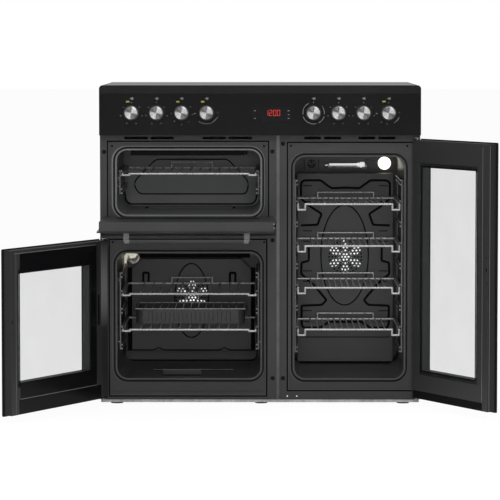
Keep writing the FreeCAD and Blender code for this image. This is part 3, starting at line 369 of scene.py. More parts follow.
def knob_silver(name, centre_x, colour):
    """A turned face: fine rings, and painted reflections, bright wedges that fan out from the middle."""
    finish = Finish(name, 0.30, metallic=0.75)
    x, _, z = finish.axes()
    dx, dz = x - centre_x * MM, z - KNOB_Z * MM
    angle = dz.maths("ARCTAN2", dx)
    wide_painted_reflection = (angle * 2.0 - 1.4).maths("COSINE")
    narrow_painted_reflection = (angle * 6.0).maths("COSINE")
    distance = (dx * dx + dz * dz) ** 0.5
    rings = (distance * 26000.0).maths("SINE")
    # Painted reflection: the bright wedges and darker sectors are painted into the colour, with the fine
    # rings as grain.
    light = finish.ramp(wide_painted_reflection * 0.42 + narrow_painted_reflection * 0.16 + rings * 0.03 + 0.5, 0.15, 0.85)
    finish.feed("Base Color", finish.shades(light, colour, 0.35, 1.8))
    finish.feed("Roughness", 0.28 + rings * 0.04)
    finish.bump(rings, 0.05, 0.0001)
    return finish.material


def glowing(name, colour, strength, dim=0.8, grain=160.0):
    """A glowing surface whose brightness drifts between dim and full: the light of the lamps and the clock,
    and painted light on the lamp reflector, the sensor's sleeve and the fan stars.
    """
    finish = Finish(name, 0.3, glow=strength)
    haze = finish.ramp(finish.noise(grain, 2.0), 0.35, 0.65)
    lit = finish.shades(haze, colour, dim, 1.1)
    finish.feed("Base Color", lit)
    finish.feed("Emission Color", lit)
    return finish.material


def oven_lamp_glass():
    """The tall oven's lamp glows; the main oven's one is faint and patchy."""
    finish = Finish("oven_lamp_glow", 0.3, glow=1.6)
    x, _, _ = finish.axes()
    lit = x > 0.0
    patches = finish.ramp(finish.noise(70.0, 1.0), 0.42, 0.58)
    haze = finish.noise(120.0, 1.0)
    glow = lit * (1.1 + haze) + (1.0 - lit) * patches * 0.12
    tone = finish.blend(glow, (0.0, 0.0, 0.0, 1.0), (1.0, 0.95, 0.80, 1.0))
    finish.feed("Emission Color", tone)
    finish.feed("Base Color", finish.blend(haze, (0.10, 0.10, 0.09, 1.0), (0.20, 0.19, 0.16, 1.0)))
    return finish.material


def hinge_painted_highlight():
    """The hinge side's folded edge, with a painted highlight: lighter in its upper half as the light falls on
    it.
    """
    finish = Finish("hinge_band", 0.4)
    _, _, z = finish.axes()
    away = (z - 0.345) * (z - 0.345) * -60.0
    near = finish.ramp(away + 1.0 + (finish.noise(500.0) - 0.5) * 0.06, 0.1, 1.0)
    finish.feed("Base Color", finish.blend(near, (0.016, 0.016, 0.017, 1.0), (0.13, 0.13, 0.134, 1.0)))
    return finish.material


def ink_and_painted_shadow(name, tone=0.0035):
    """Deep black: painted shadow for grooves, pressed lines and gaps, and black print for marks and borders.
    """
    return coated(name, even(tone), 0.6, 700.0, 0.3, 0.0, shine=0.1)


# ---- making pieces

def deselect_all():
    if bpy.context.object and bpy.context.object.mode != "OBJECT":
        bpy.ops.object.mode_set(mode="OBJECT")
    bpy.ops.object.select_all(action="DESELECT")


def only(piece):
    deselect_all()
    piece.select_set(True)
    bpy.context.view_layer.objects.active = piece


def edit_all(piece):
    only(piece)
    bpy.ops.object.mode_set(mode="EDIT")
    bpy.ops.mesh.select_all(action="SELECT")


def back_to_object():
    bpy.ops.object.mode_set(mode="OBJECT")


def place_in_mesh(piece):
    only(piece)
    bpy.ops.object.transform_apply(location=True, rotation=True, scale=True)


def block(name, low, high, rounding=0.0004):
    """A plate or bar between two corners, with its edges bevelled."""
    deselect_all()
    bpy.ops.mesh.primitive_cube_add(size=1.0, location=(low + high) / 2)
    piece = bpy.context.object
    piece.name = name
    piece.scale = high - low
    place_in_mesh(piece)
    edit_all(piece)
    bpy.ops.mesh.bevel(offset=min(rounding, min(high - low) * 0.4), segments=2, affect="EDGES")
    back_to_object()
    return piece


def flat_bars(name, bars, depths, rounding=PRINT_EDGE):
    """Bars in one plane, each by left, right, bottom and top, between two depths, in millimetres."""
    y0, y1 = depths
    return [block(name, point(x0, y0, z0), point(x1, y1, z1), rounding) for x0, x1, z0, z1 in bars]


def rim(name, sides, width, depths):
    """Four flat bars inside the given left, right, bottom and top, in millimetres."""
    x0, x1, z0, z1 = sides
    bars = [(x0, x0 + width, z0, z1), (x1 - width, x1, z0, z1),
            (x0 + width, x1 - width, z0, z0 + width), (x0 + width, x1 - width, z1 - width, z1)]
    return flat_bars(name, bars, depths)


def wire_path(points, rounding):
    """A chain of edges through the points, with its corners rounded."""
    deselect_all()
    bpy.ops.mesh.primitive_plane_add(size=0.001, location=points[0])
    path = bpy.context.object
    edit_all(path)
    bpy.ops.mesh.merge(type="CENTER")
    for start, end in zip(points, points[1:]):
        bpy.ops.mesh.extrude_region_move(TRANSFORM_OT_translate={"value": tuple(end - start)})
    bpy.ops.mesh.select_all(action="SELECT")
    bpy.ops.mesh.remove_doubles(threshold=0.00001)
    if rounding > 0.0:
        bpy.ops.mesh.select_all(action="SELECT")
        bpy.ops.mesh.bevel(offset=rounding, segments=4, affect="VERTICES")
    back_to_object()
    return path


def strand(name, points, radius, rounding=0.0):
    """A round bar or pressed line that follows the points."""
    path = wire_path(points, rounding)
    only(path)
    bpy.ops.object.convert(target="CURVE")
    piece = bpy.context.object
    piece.data.bevel_depth = radius
    piece.data.bevel_resolution = 2
    piece.data.use_fill_caps = True
    bpy.ops.object.convert(target="MESH")
    piece = bpy.context.object
    piece.name = name
    place_in_mesh(piece)
    smooth(piece)
    return piece


def drawn(name, places, y, radius, rounding=0.0):
    """A strand in one plane, through places given across and up in millimetres."""
    return strand(name, [point(x, y, z) for x, z in places], radius, rounding)


def plate(name, corners, thickness, rounding=0.0):
    """A flat plate through its corners, as thick toward the back as given."""
    piece = wire_path(corners + corners[:1], 0.0)
    edit_all(piece)
    bpy.ops.mesh.edge_face_add()
    bpy.ops.mesh.extrude_region_move(TRANSFORM_OT_translate={"value": (0.0, thickness, 0.0)})
    bpy.ops.mesh.select_all(action="SELECT")
    bpy.ops.mesh.normals_make_consistent(inside=False)
    if rounding > 0.0:
        bpy.ops.mesh.bevel(offset=rounding, segments=2, affect="EDGES")
    back_to_object()
    piece.name = name
    place_in_mesh(piece)
    return piece


def turned(name, profile, centre, steps=48):
    """A shape turned about an axis that runs from front to back; the profile gives radius and depth."""
    points = [centre + Vector((radius, depth, 0.0)) for radius, depth in profile]
    piece = wire_path(points, 0.0)
    edit_all(piece)
    bpy.ops.mesh.spin(steps=steps, angle=2 * math.pi, center=tuple(centre), axis=(0.0, 1.0, 0.0))
    bpy.ops.mesh.select_all(action="SELECT")
    bpy.ops.mesh.remove_doubles(threshold=0.00002)
    bpy.ops.mesh.normals_make_consistent(inside=False)
    back_to_object()
    piece.name = name
    place_in_mesh(piece)
    smooth(piece)
    return piece


def smooth(piece):
    only(piece)
    bpy.ops.object.shade_smooth_by_angle(angle=SMOOTH_ANGLE)


def copy_of(piece, name, move):
    """The same shape in another place, with its own mesh."""
    twin = piece.copy()
    twin.data = piece.data.copy()
    twin.data.transform(Matrix.Translation(move))
    twin.name = name
    bpy.context.collection.objects.link(twin)
    return twin


def rotated(piece, angle, axis, centre):
    """Turns a piece's mesh about an axis through a place."""
    turn = Matrix.Rotation(angle, 4, axis)
    piece.data.transform(Matrix.Translation(centre) @ turn @ Matrix.Translation(-centre))
    return piece


def joined(name, pieces):
    deselect_all()
    for piece in pieces:
        piece.select_set(True)
    bpy.context.view_layer.objects.active = pieces[0]
    if len(pieces) > 1:
        bpy.ops.object.join()
    whole = bpy.context.object
    whole.name = name
    return whole


def finished(piece, body, material):
    """Gives a piece its finish and its body."""
    piece.data.materials.clear()
    piece.data.materials.append(material)
    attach(piece, body)
    return piece


def swung(piece, side):
    """Turns a piece that was made on a shut side door to where that door stands open."""
    return rotated(piece, math.radians(SIDE_DOOR_ANGLE) * side, "Z", point(side * HINGE_X, HINGE_Y, 0.0))


def door_x(side, u):
    """The place across the width of something u millimetres from the hinge of a shut side door."""
    return side * (HINGE_X - u)


# ---- operators

class COOKER_OT_stage(bpy.types.Operator):
    """Floor, lamps, world and camera"""
    bl_idname = "cooker.stage"
    bl_label = "Stage"

    def execute(self, context):
        stage = context.scene.cooker_stage
        context.scene.view_settings.view_transform = "Standard"
        self.make_floor()
        self.make_world(context)
        self.make_lamps(stage)
        self.make_camera(context, stage)
        return {"FINISHED"}

    def make_floor(self):
        deselect_all()
        bpy.ops.mesh.primitive_plane_add(size=FLOOR_SIZE, location=(0.0, 0.0, 0.0))
        floor = bpy.context.object
        floor.name = "floor"
        finish = Finish("pale_floor", 0.9, shine=0.1)
        finish.feed("Base Color", (0.9, 0.9, 0.9, 1.0))
        tree = finish.tree
        glow = finish.node("ShaderNodeEmission", None, {"Color": WHITE, "Strength": FLOOR_GLOW})
        seen = Signal(finish, finish.node("ShaderNodeLightPath").outputs["Is Camera Ray"])
        mixed = finish.node("ShaderNodeMixShader", None,
                            {0: seen * FLOOR_GLOW_SHARE, 1: finish.shader.outputs[0], 2: glow.outputs[0]})
        tree.links.new(mixed.outputs[0], tree.nodes["Material Output"].inputs["Surface"])
        floor.data.materials.append(finish.material)

    def make_world(self, context):
        world = bpy.data.worlds.new("soft_white")
        context.scene.world = world
        world.use_nodes = True
        tree = world.node_tree
        plain = tree.nodes["Background"]
        plain.inputs["Color"].default_value = WHITE
        plain.inputs["Strength"].default_value = WORLD_LEVEL
        white = add_node(tree, "ShaderNodeBackground", None, {"Color": WHITE, "Strength": 1.0})
        path = add_node(tree, "ShaderNodeLightPath")
        either = add_node(tree, "ShaderNodeMath", {"operation": "MAXIMUM"},
                          {0: path.outputs["Is Camera Ray"], 1: path.outputs["Is Transmission Ray"]})
        mixed = add_node(tree, "ShaderNodeMixShader", None,
                         {0: either.outputs[0], 1: plain.outputs[0], 2: white.outputs[0]})
        tree.links.new(mixed.outputs[0], tree.nodes["World Output"].inputs["Surface"])

    # Each lamp's name, place, size, and power as a share of the key light.
    lamps = [("front_lamp", (0.5, -5.0, 3.3), 2.4, 1.0), ("left_lamp", (-3.0, -3.5, 2.8), 1.6, 0.3),
             ("top_lamp", (0.4, 0.3, 3.4), 2.2, 0.45), ("fill_lamp", (0.0, -6.0, 1.2), 1.5, 1.5)]
    lamp_aim = Vector((0.0, 0.0, 0.45))

    def make_lamps(self, stage):
        for name, place, size, share in self.lamps:
            deselect_all()
            bpy.ops.object.light_add(type="AREA", location=place)
            lamp = bpy.context.object
            lamp.name = name
            lamp.data.size = size
            lamp.data.energy = stage.key * share
            lamp.visible_glossy = name != "fill_lamp"
            aim = self.lamp_aim - Vector(place)
            lamp.rotation_euler = aim.to_track_quat("-Z", "Y").to_euler()

    def make_camera(self, context, stage):
        deselect_all()
        bpy.ops.object.camera_add(location=(0.0, -stage.distance, stage.height),
                                  rotation=(math.pi / 2 - stage.tilt, 0.0, stage.yaw))
        camera = bpy.context.object
        camera.data.sensor_width = 36.0
        camera.data.lens = stage.lens
        camera.data.clip_end = 60.0
        context.scene.camera = camera


class COOKER_OT_finishes(bpy.types.Operator):
    """Gives every CAD node its finish"""
    bl_idname = "cooker.finishes"
    bl_label = "Finishes"

    def execute(self, context):
        colours = context.scene.cooker_colours
        slots = {
            "black_panel": coated("gloss_panel", colours.panel, 0.22, 1400.0, 0.15, 0.0, shine=0.2),
            "dark_enamel_panel": coated("satin_side", colours.panel, 0.38, 900.0, 0.3, 0.05),
            "grey_front_frame": coated("front_enamel", colours.front, 0.42, 1100.0, 0.18, 0.02),
            "grey_door_frame": coated("door_paint", colours.door, 0.45, 1100.0, 0.22, 0.05),
            "light_trim": bare_metal("satin_trim", even(0.13), 0.4),
            "galvanised": bare_metal("zinc_sheet", (0.55, 0.56, 0.57), 0.42, 90.0, 0.25),
            "screw_steel": bare_metal("screw_zinc", even(0.5), 0.3),
            "oven_enamel": coated("speckled_enamel", colours.enamel, 0.34, 420.0, 0.16, 0.0),
            "rack_chrome": bare_metal("rack_chrome", even(0.42), 0.28, metallic=0.45),
            "element_steel": coated("dark_rod", (0.055, 0.050, 0.046), 0.5, 500.0, 0.3, 0.08),
            "handle_finish": coated("satin_bar", (0.012, 0.012, 0.0125), 0.34, 1300.0, 0.2, 0.01),
            "knob_finish": coated("knob_skirt", even(0.012), 0.3, 900.0, 0.2, 0.03),
            "black_plastic": coated("matt_plastic", even(0.02), 0.6, 700.0, 0.25, 0.08),
            "black_rubber": coated("seal_rubber", even(0.004), 0.7, 600.0, 0.3, 0.05, shine=0.15),
            "amber_lamp": coated("olive_lens", (0.30, 0.23, 0.05), 0.3, 400.0, 0.2, 0.02),
            "display_glass": coated("clock_window", (0.006, 0.006, 0.007), 0.1, 900.0, 0.2, 0.01, shine=0.25),
            "hob_ceramic_glass": hob_glass(),
            "heater_insulation": coated("pressed_fibre", (0.66, 0.63, 0.56), 0.9, 300.0, 0.15, 0.3),
            "lamp_glass": glowing("lit_lamp", (1.0, 0.96, 0.86), 3.0),
            "door_glass": clear_pane("inner_pane", INNER_PANE_ALPHA),
        }
        own = {
            "main_door_outer_glass": door_outer_glass("main_door_print", -1, MAIN_WINDOW),
            "tall_door_outer_glass": door_outer_glass("tall_door_print", 1, TALL_WINDOW),
            "grill_door_outer_glass": coated("grill_door_print", (0.008, 0.008, 0.009), 0.1,
                                             900.0, 0.2, 0.01),
            "hob_trim": coated("gloss_trim", opaque(colours.panel, 1.9)[:3], 0.24,
                               1400.0, 0.15, 0.0, shine=0.25),
            # Painted shade: the side rails get a darker copy of the rack chrome, for the shade they sit in.
            "wire_side_rails": bare_metal("rail_wire_painted_shade", even(0.16), 0.3, metallic=0.45),
            "pan_handle": coated("pan_handle_black", even(0.010), 0.38, 500.0, 0.3, 0.05),
            # Painted shade: the fans and the ring elements behind the covers are made near-black, the shade
            # they sit in.
            "main_fan": coated("painted_shade_fan", even(0.008), 0.6, 500.0, 0.3, 0.02, shine=0.1),
            "oven_lamps": oven_lamp_glass(),
            "main_door_frame": door_paint("main_door_paint_and_painted_shadow", colours.door, -1),
            # Painted light: the tall door gets a copy of the door paint 1.2 times lighter, besides the
            # painted shadow on its frame's sides.
            "tall_door_frame": door_paint("tall_door_paint_painted_light_and_shadow", opaque(colours.door, 1.2)[:3], 1),
            "grill_door_handle": handle_bar("grill_handle_bar"),
            # Painted light: the fan covers and the grill cavity get copies of the oven enamel 1.2 and 3.1
            # times lighter, for the light on them.
            "fan_covers": coated("cover_enamel_painted_light", opaque(colours.enamel, 1.2)[:3], 0.36, 420.0, 0.14, 0.0),
            "grill_cavity": coated("grill_enamel_painted_light", opaque(colours.enamel, 3.1)[:3], 0.36, 420.0, 0.14, 0.0),
        }
        # The tall fan and the ring elements share the main fan's painted shade.
        own["tall_fan"] = own["ring_elements"] = own["main_fan"]
        for row in frame["record"]["subparts"]:
            node = frame["nodes"][row["node"]]
            node.data.materials.clear()
            node.data.materials.append(own.get(row["node"]) or slots[row["material_slot"]])
        return {"FINISHED"}


class COOKER_OT_knob_caps(bpy.types.Operator):
    """The silver cap and pointer of each knob"""
    bl_idname = "cooker.knob_caps"
    bl_label = "Knob caps"

    def execute(self, context):
        sizes = context.scene.cooker_sizes
        colours = context.scene.cooker_colours
        radius = sizes.cap_radius
        first = point(KNOB_XS[0], KNOB_FRONT_Y, KNOB_Z)
        profile = [(0.0, -0.0007), (radius * 0.80, -0.0007), (radius * 0.84, -0.0013),
                   (radius * 0.94, -0.0014), (radius, -0.0008), (radius, 0.0002), (0.0, 0.0002)]
        cap = turned("knob_cap_1", profile, first)
        low = first + point(-0.7, -1.5, 8.0)
        high = first + point(0.7, -0.5, 15.5)
        pointer = block("knob_pointer_1", low, high, 0.0002)
        black = coated("pointer_black", even(0.01), 0.5, 800.0, 0.2, 0.02)
        for number, x in enumerate(KNOB_XS, 1):
            move = point(x - KNOB_XS[0], 0.0, 0.0)
            body = "knob_%d" % number
            own_cap = cap if number == 1 else copy_of(cap, "knob_cap_%d" % number, move)
            own_pointer = pointer if number == 1 else copy_of(pointer, "knob_pointer_%d" % number, move)
            silver = knob_silver("knob_silver_%d" % number, x, colours.silver)
            finished(own_cap, body, silver)
            finished(own_pointer, body, black)
        return {"FINISHED"}


class COOKER_OT_panel_marks(bpy.types.Operator):
    """The printed marks round the knobs"""
    bl_idname = "cooker.panel_marks"
    bl_label = "Panel marks"

    # Places of the marks from a knob's middle, right and up, in millimetres.
    hob_marks = [(22.3, 15.6), (-22.3, 15.6), (29.3, -8.4), (-29.3, -8.4), (12.8, -29.9),
                 (-12.8, -29.9), (0.0, 28.7)]
    oven_marks = [(24.6, 16.7), (-28.5, -2.2), (30.4, -4.7), (-20.1, -23.4), (20.4, -25.1), (0.0, -32.6)]
    timer_marks = [(-31.0, -2.2), (-33.5, -2.2), (-19.5, -25.7), (-14.0, -28.2), (-10.0, -30.0),
                   (-5.0, -30.8), (0.0, -31.0), (5.0, -30.6), (10.0, -29.6), (15.0, -27.0),
                   (31.0, 0.6), (31.0, -12.8)]
    tall_marks = [(24.6, 17.6), (0.0, 28.7)]
    last_marks = [(-32.0, -2.2), (-34.5, -2.2), (-19.8, -25.7), (-4.6, -30.4), (29.9, 0.6), (0.0, 28.7)]
    # Printed arcs: the knob's number, the arc's radius in millimetres, and its start and end in degrees.
    arcs = [(4, 31.2, -55.0, -28.0), (5, 29.6, 118.0, 189.0), (5, 30.8, 201.0, 250.0),
            (5, 31.0, 254.0, 285.0), (5, 31.5, -63.0, -18.0), (5, 30.0, -8.0, 28.0),
            (8, 31.6, -61.0, -24.0)]

    def execute(self, context):
        sizes = context.scene.cooker_sizes
        half = sizes.mark_width / 2
        base = point(0.0, PANEL_Y, 0.0)
        reach = Vector((0.0011, 0.0001, half))
        mark = block("panel_mark", base - reach, base + reach, PRINT_EDGE)
        layouts = [self.hob_marks, self.hob_marks, self.oven_marks, self.timer_marks, self.tall_marks,
                   self.hob_marks, self.hob_marks, self.last_marks]
        marks = []
        for x, layout in zip(KNOB_XS, layouts):
            for right, up in layout:
                place = point(x + right, 0.0, KNOB_Z + up)
                twin = copy_of(mark, "panel_mark_part", place)
                marks.append(rotated(twin, -math.atan2(up, right), "Y", base + place))
        bpy.data.objects.remove(mark)
        for number, arc_radius, start, end in self.arcs:
            turns = [math.radians(start + (end - start) * i / 12) for i in range(13)]
            places = [(KNOB_XS[number - 1] + arc_radius * math.cos(a), KNOB_Z + arc_radius * math.sin(a))
                      for a in turns]
            marks.append(drawn("panel_mark_part", places, PANEL_Y, 0.0004))
        for x in KNOB_XS:
            marks += self.symbol(x + 2.0, KNOB_Z + 39.7)
        print_white = coated("print_white", even(0.42), 0.5, 900.0, 0.1, 0.01)
        finished(joined("panel_marks", marks), "root", print_white)
        return {"FINISHED"}

    def symbol(self, x, z):
        """A plain square with a dot in it and a short stroke beside it, over each knob."""
        half, wide, dot = 2.8, 0.55, 0.8
        x0, x1, z0, z1 = x - half, x + half, z - half, z + half
        bars = [(x0, x1, z1 - wide, z1), (x0, x1, z0, z0 + wide), (x0, x0 + wide, z0, z1),
                (x1 - wide, x1, z0, z1), (x - dot, x + dot, z - dot, z + dot),
                (x0 - 3.4, x0 - 1.2, z - 0.4, z + 0.4)]
        return flat_bars("mark", bars, PANEL_PRINT)


class COOKER_OT_clock(bpy.types.Operator):
    """The lit digits of the clock and its touch marks"""
    bl_idname = "cooker.clock"
    bl_label = "Clock"

    # Which bars of a digit are lit: top, upper right, lower right, foot, lower left, upper left, middle.
    segments = {"0": "1111110", "1": "0110000", "2": "1101101", "3": "1111001", "4": "0110011",
                "5": "1011011", "6": "1011111", "7": "1110000", "8": "1111111", "9": "1111011"}
    digit_lefts = [14.6, 25.6, 37.0, 47.6]
    touch_marks = [(-14.0, 829.0), (-14.0, 808.0), (80.0, 829.0), (80.0, 808.0), (80.0, 818.0)]

    def digit(self, left, lit):
        """The lit bars of one digit whose left side is so many millimetres from the middle of the cooker."""
        wide, foot, tall, bar = 8.2, 814.6, 16.6, 1.1
        right, top, half = left + wide, foot + tall, foot + tall / 2
        bars = [(left, right, top - bar, top), (right - bar, right, half, top),
                (right - bar, right, foot, half), (left, right, foot, foot + bar),
                (left, left + bar, foot, half), (left, left + bar, half, top),
                (left, right, half - bar / 2, half + bar / 2)]
        gap = 0.2
        shown = [(x0 + gap, x1 - gap, z0 + gap, z1 - gap)
                 for (x0, x1, z0, z1), on in zip(bars, lit) if on == "1"]
        return flat_bars("bar", shown, CLOCK_PRINT)

    def execute(self, context):
        sizes = context.scene.cooker_sizes
        colours = context.scene.cooker_colours
        pieces = []
        for left, shown in zip(self.digit_lefts, sizes.clock_text.replace(":", "")):
            pieces += self.digit(left, self.segments[shown])
        pieces += flat_bars("dot", [(34.9, 35.7, z - 0.4, z + 0.4) for z in (819.0, 826.5)], CLOCK_PRINT)
        red = glowing("digit_red", colours.digits, 0.5)
        finished(joined("clock_digits", pieces), "root", red)
        marks = flat_bars("clock_mark", [(x - 2.4, x + 2.4, z - 0.5, z + 0.5) for x, z in self.touch_marks],
                          CLOCK_PRINT)
        grey = coated("clock_mark_grey", even(0.35), 0.5, 900.0, 0.1, 0.01)
        finished(joined("clock_marks", marks), "root", grey)
        return {"FINISHED"}


class COOKER_OT_cover_embossing(bpy.types.Operator):
    """The pressed lines on the two fan covers and the gaps beside them, drawn dark as painted shadow, with a
    painted highlight under the tall cover's lines.
    """
    bl_idname = "cooker.cover_embossing"
    bl_label = "Cover embossing"

    # Pressed lines of the tall oven's cover, left half: across and up, in millimetres.
    tall_lines = [[(120.7, 567.6), (120.7, 605.9), (129.5, 613.9), (178.0, 613.9), (210.2, 590.3),
                   (251.4, 592.5)],
                  [(116.7, 563.0), (147.2, 537.0), (181.4, 514.8), (169.7, 482.7), (120.8, 480.9)],
                  [(144.1, 415.9), (144.2, 376.6), (122.7, 371.0), (121.5, 338.0), (159.3, 304.7),
                   (196.3, 260.3), (183.0, 246.1), (122.8, 243.7), (122.8, 190.0), (127.0, 178.5),
                   (177.8, 178.5), (203.7, 196.0), (251.4, 196.0)]]
    tall_dashes = [598.0, 551.4, 464.7, 433.7, 346.5, 315.7, 228.6, 197.2]
    main_foot = [(-392.8, 108.4), (-315.0, 108.4), (-300.5, 115.9), (-285.0, 108.4), (-120.0, 108.4),
                 (-105.6, 115.9), (-90.0, 108.4), (-14.9, 108.4)]
    main_base = [(-401.0, 130.0), (-401.0, 84.0), (-391.0, 75.5), (-18.0, 75.5), (-9.0, 84.0), (-9.0, 130.0)]
    tall_foot = [(119.0, 150.6), (383.8, 150.6)]
    # The gaps beside and over the main oven's cover, as left, right, bottom and top, filled with dark bars of
    # painted shadow.
    main_gaps = [(-392.5, -380.0, 108.0, 352.0), (-26.5, -14.5, 108.0, 352.0), (-376.0, -30.0, 381.0, 424.0)]
    oval_steps = 40
    bend = 0.004

    def oval(self, name, x, z, half_width, half_height, y, radius):
        turns = [2 * math.pi * i / self.oval_steps for i in range(self.oval_steps + 1)]
        places = [(x + half_width * math.cos(a), z + half_height * math.sin(a)) for a in turns]
        return drawn(name, places, y, radius)

    def execute(self, context):
        radius = context.scene.cooker_sizes.emboss_radius
        black = ink_and_painted_shadow("pressed_shadow")
        painted_highlight_edge = coated("pressed_edge_painted_highlight", (0.060, 0.060, 0.062), 0.34, 900.0, 0.2, 0.0)
        front = TALL_COVER_Y
        tall = [self.oval("line", 249.4, 393.3, 69.9, 147.8, front, radius * 0.55)]
        edges = []
        for places in self.tall_lines:
            mirrored = [(2 * TALL_MIDDLE_X - x, z) for x, z in places]
            for way in (places, mirrored):
                tall.append(drawn("line", way, front, radius, self.bend))
                # A painted highlight 3.6 mm under each pressed line.
                edges.append(drawn("edge", [(x, z - 3.6) for x, z in way], front - 0.2, 0.0005, self.bend))
        for z in self.tall_dashes:
            for x in (139.8, 2 * TALL_MIDDLE_X - 139.8):
                tall.append(drawn("line", [(x - 13.0, z), (x + 13.0, z)], front, 0.0013))
        tall.append(drawn("line", self.tall_foot, front, 0.0014))
        finished(joined("tall_cover_lines", tall), "root", black)
        finished(joined("tall_cover_edges", edges), "root", painted_highlight_edge)
        main = [self.oval("line", MAIN_MIDDLE_X - 2.3, 255.5, 50.0, 110.0, MAIN_COVER_Y, radius * 0.55)]
        main.append(drawn("line", self.main_foot, MAIN_COVER_Y, 0.0018, self.bend))
        main.append(drawn("line", self.main_base, 198.5, 0.0018, 0.008))
        main += flat_bars("gap", self.main_gaps, (196.0, 199.5), 0.0005)
        for x in (-337.6, -80.8):
            hook = [(x - 8.0, 308.0), (x - 8.0, 338.0), (x + 8.0, 338.0), (x + 8.0, 308.0)]
            main.append(drawn("line", hook, MAIN_COVER_Y, 0.0034, 0.003))
        finished(joined("main_cover_lines", main), "root", black)
        return {"FINISHED"}


class COOKER_OT_flange_grooves(bpy.types.Operator):
    """The grooves round the three ovens' flanges, dark with painted shadow, each with a light edge of painted
    highlight, and dark discs at their corner screws.
    """
    bl_idname = "cooker.flange_grooves"
    bl_label = "Flange grooves"

    # Left, right, bottom and top of each groove, in millimetres.
    outlines = [(-428.4, 23.6, 520.0, 742.0), (-424.5, 18.4, 22.6, 465.8), (77.5, 433.8, 38.2, 738.9)]
    groove_width, edge_width = 4.4, 1.3
    corner_holes = [(-415.8, 729.0), (11.2, 729.0), (-415.0, 458.2), (11.8, 458.2),
                    (87.1, 729.3), (413.9, 729.3)]

    def execute(self, context):
        dark, light = [], []
        half = self.groove_width / 2
        for x0, x1, z0, z1 in self.outlines:
            outer = (x0 - half, x1 + half, z0 - half, z1 + half)
            inner = (x0 + half, x1 - half, z0 + half, z1 - half)
            # Painted shadow in each groove, and a painted highlight along its inner edge.
            dark += rim("groove", outer, self.groove_width, GROOVE_DEPTHS)
            light += rim("groove_edge", inner, self.edge_width, GROOVE_DEPTHS)
        hole = [(0.0, -0.0003), (0.0028, -0.0003), (0.0030, 0.0001), (0.0, 0.0001)]
        for x, z in self.corner_holes:
            # The holes are dark with painted shadow.
            dark.append(turned("hole", hole, point(x, -260.0, z), 16))
        finished(joined("flange_grooves", dark), "root", ink_and_painted_shadow("groove_shadow", 0.002))
        edge = coated("groove_painted_highlight", (0.055, 0.055, 0.057), 0.4, 900.0, 0.2, 0.0)
        finished(joined("flange_edges", light), "root", edge)
        return {"FINISHED"}


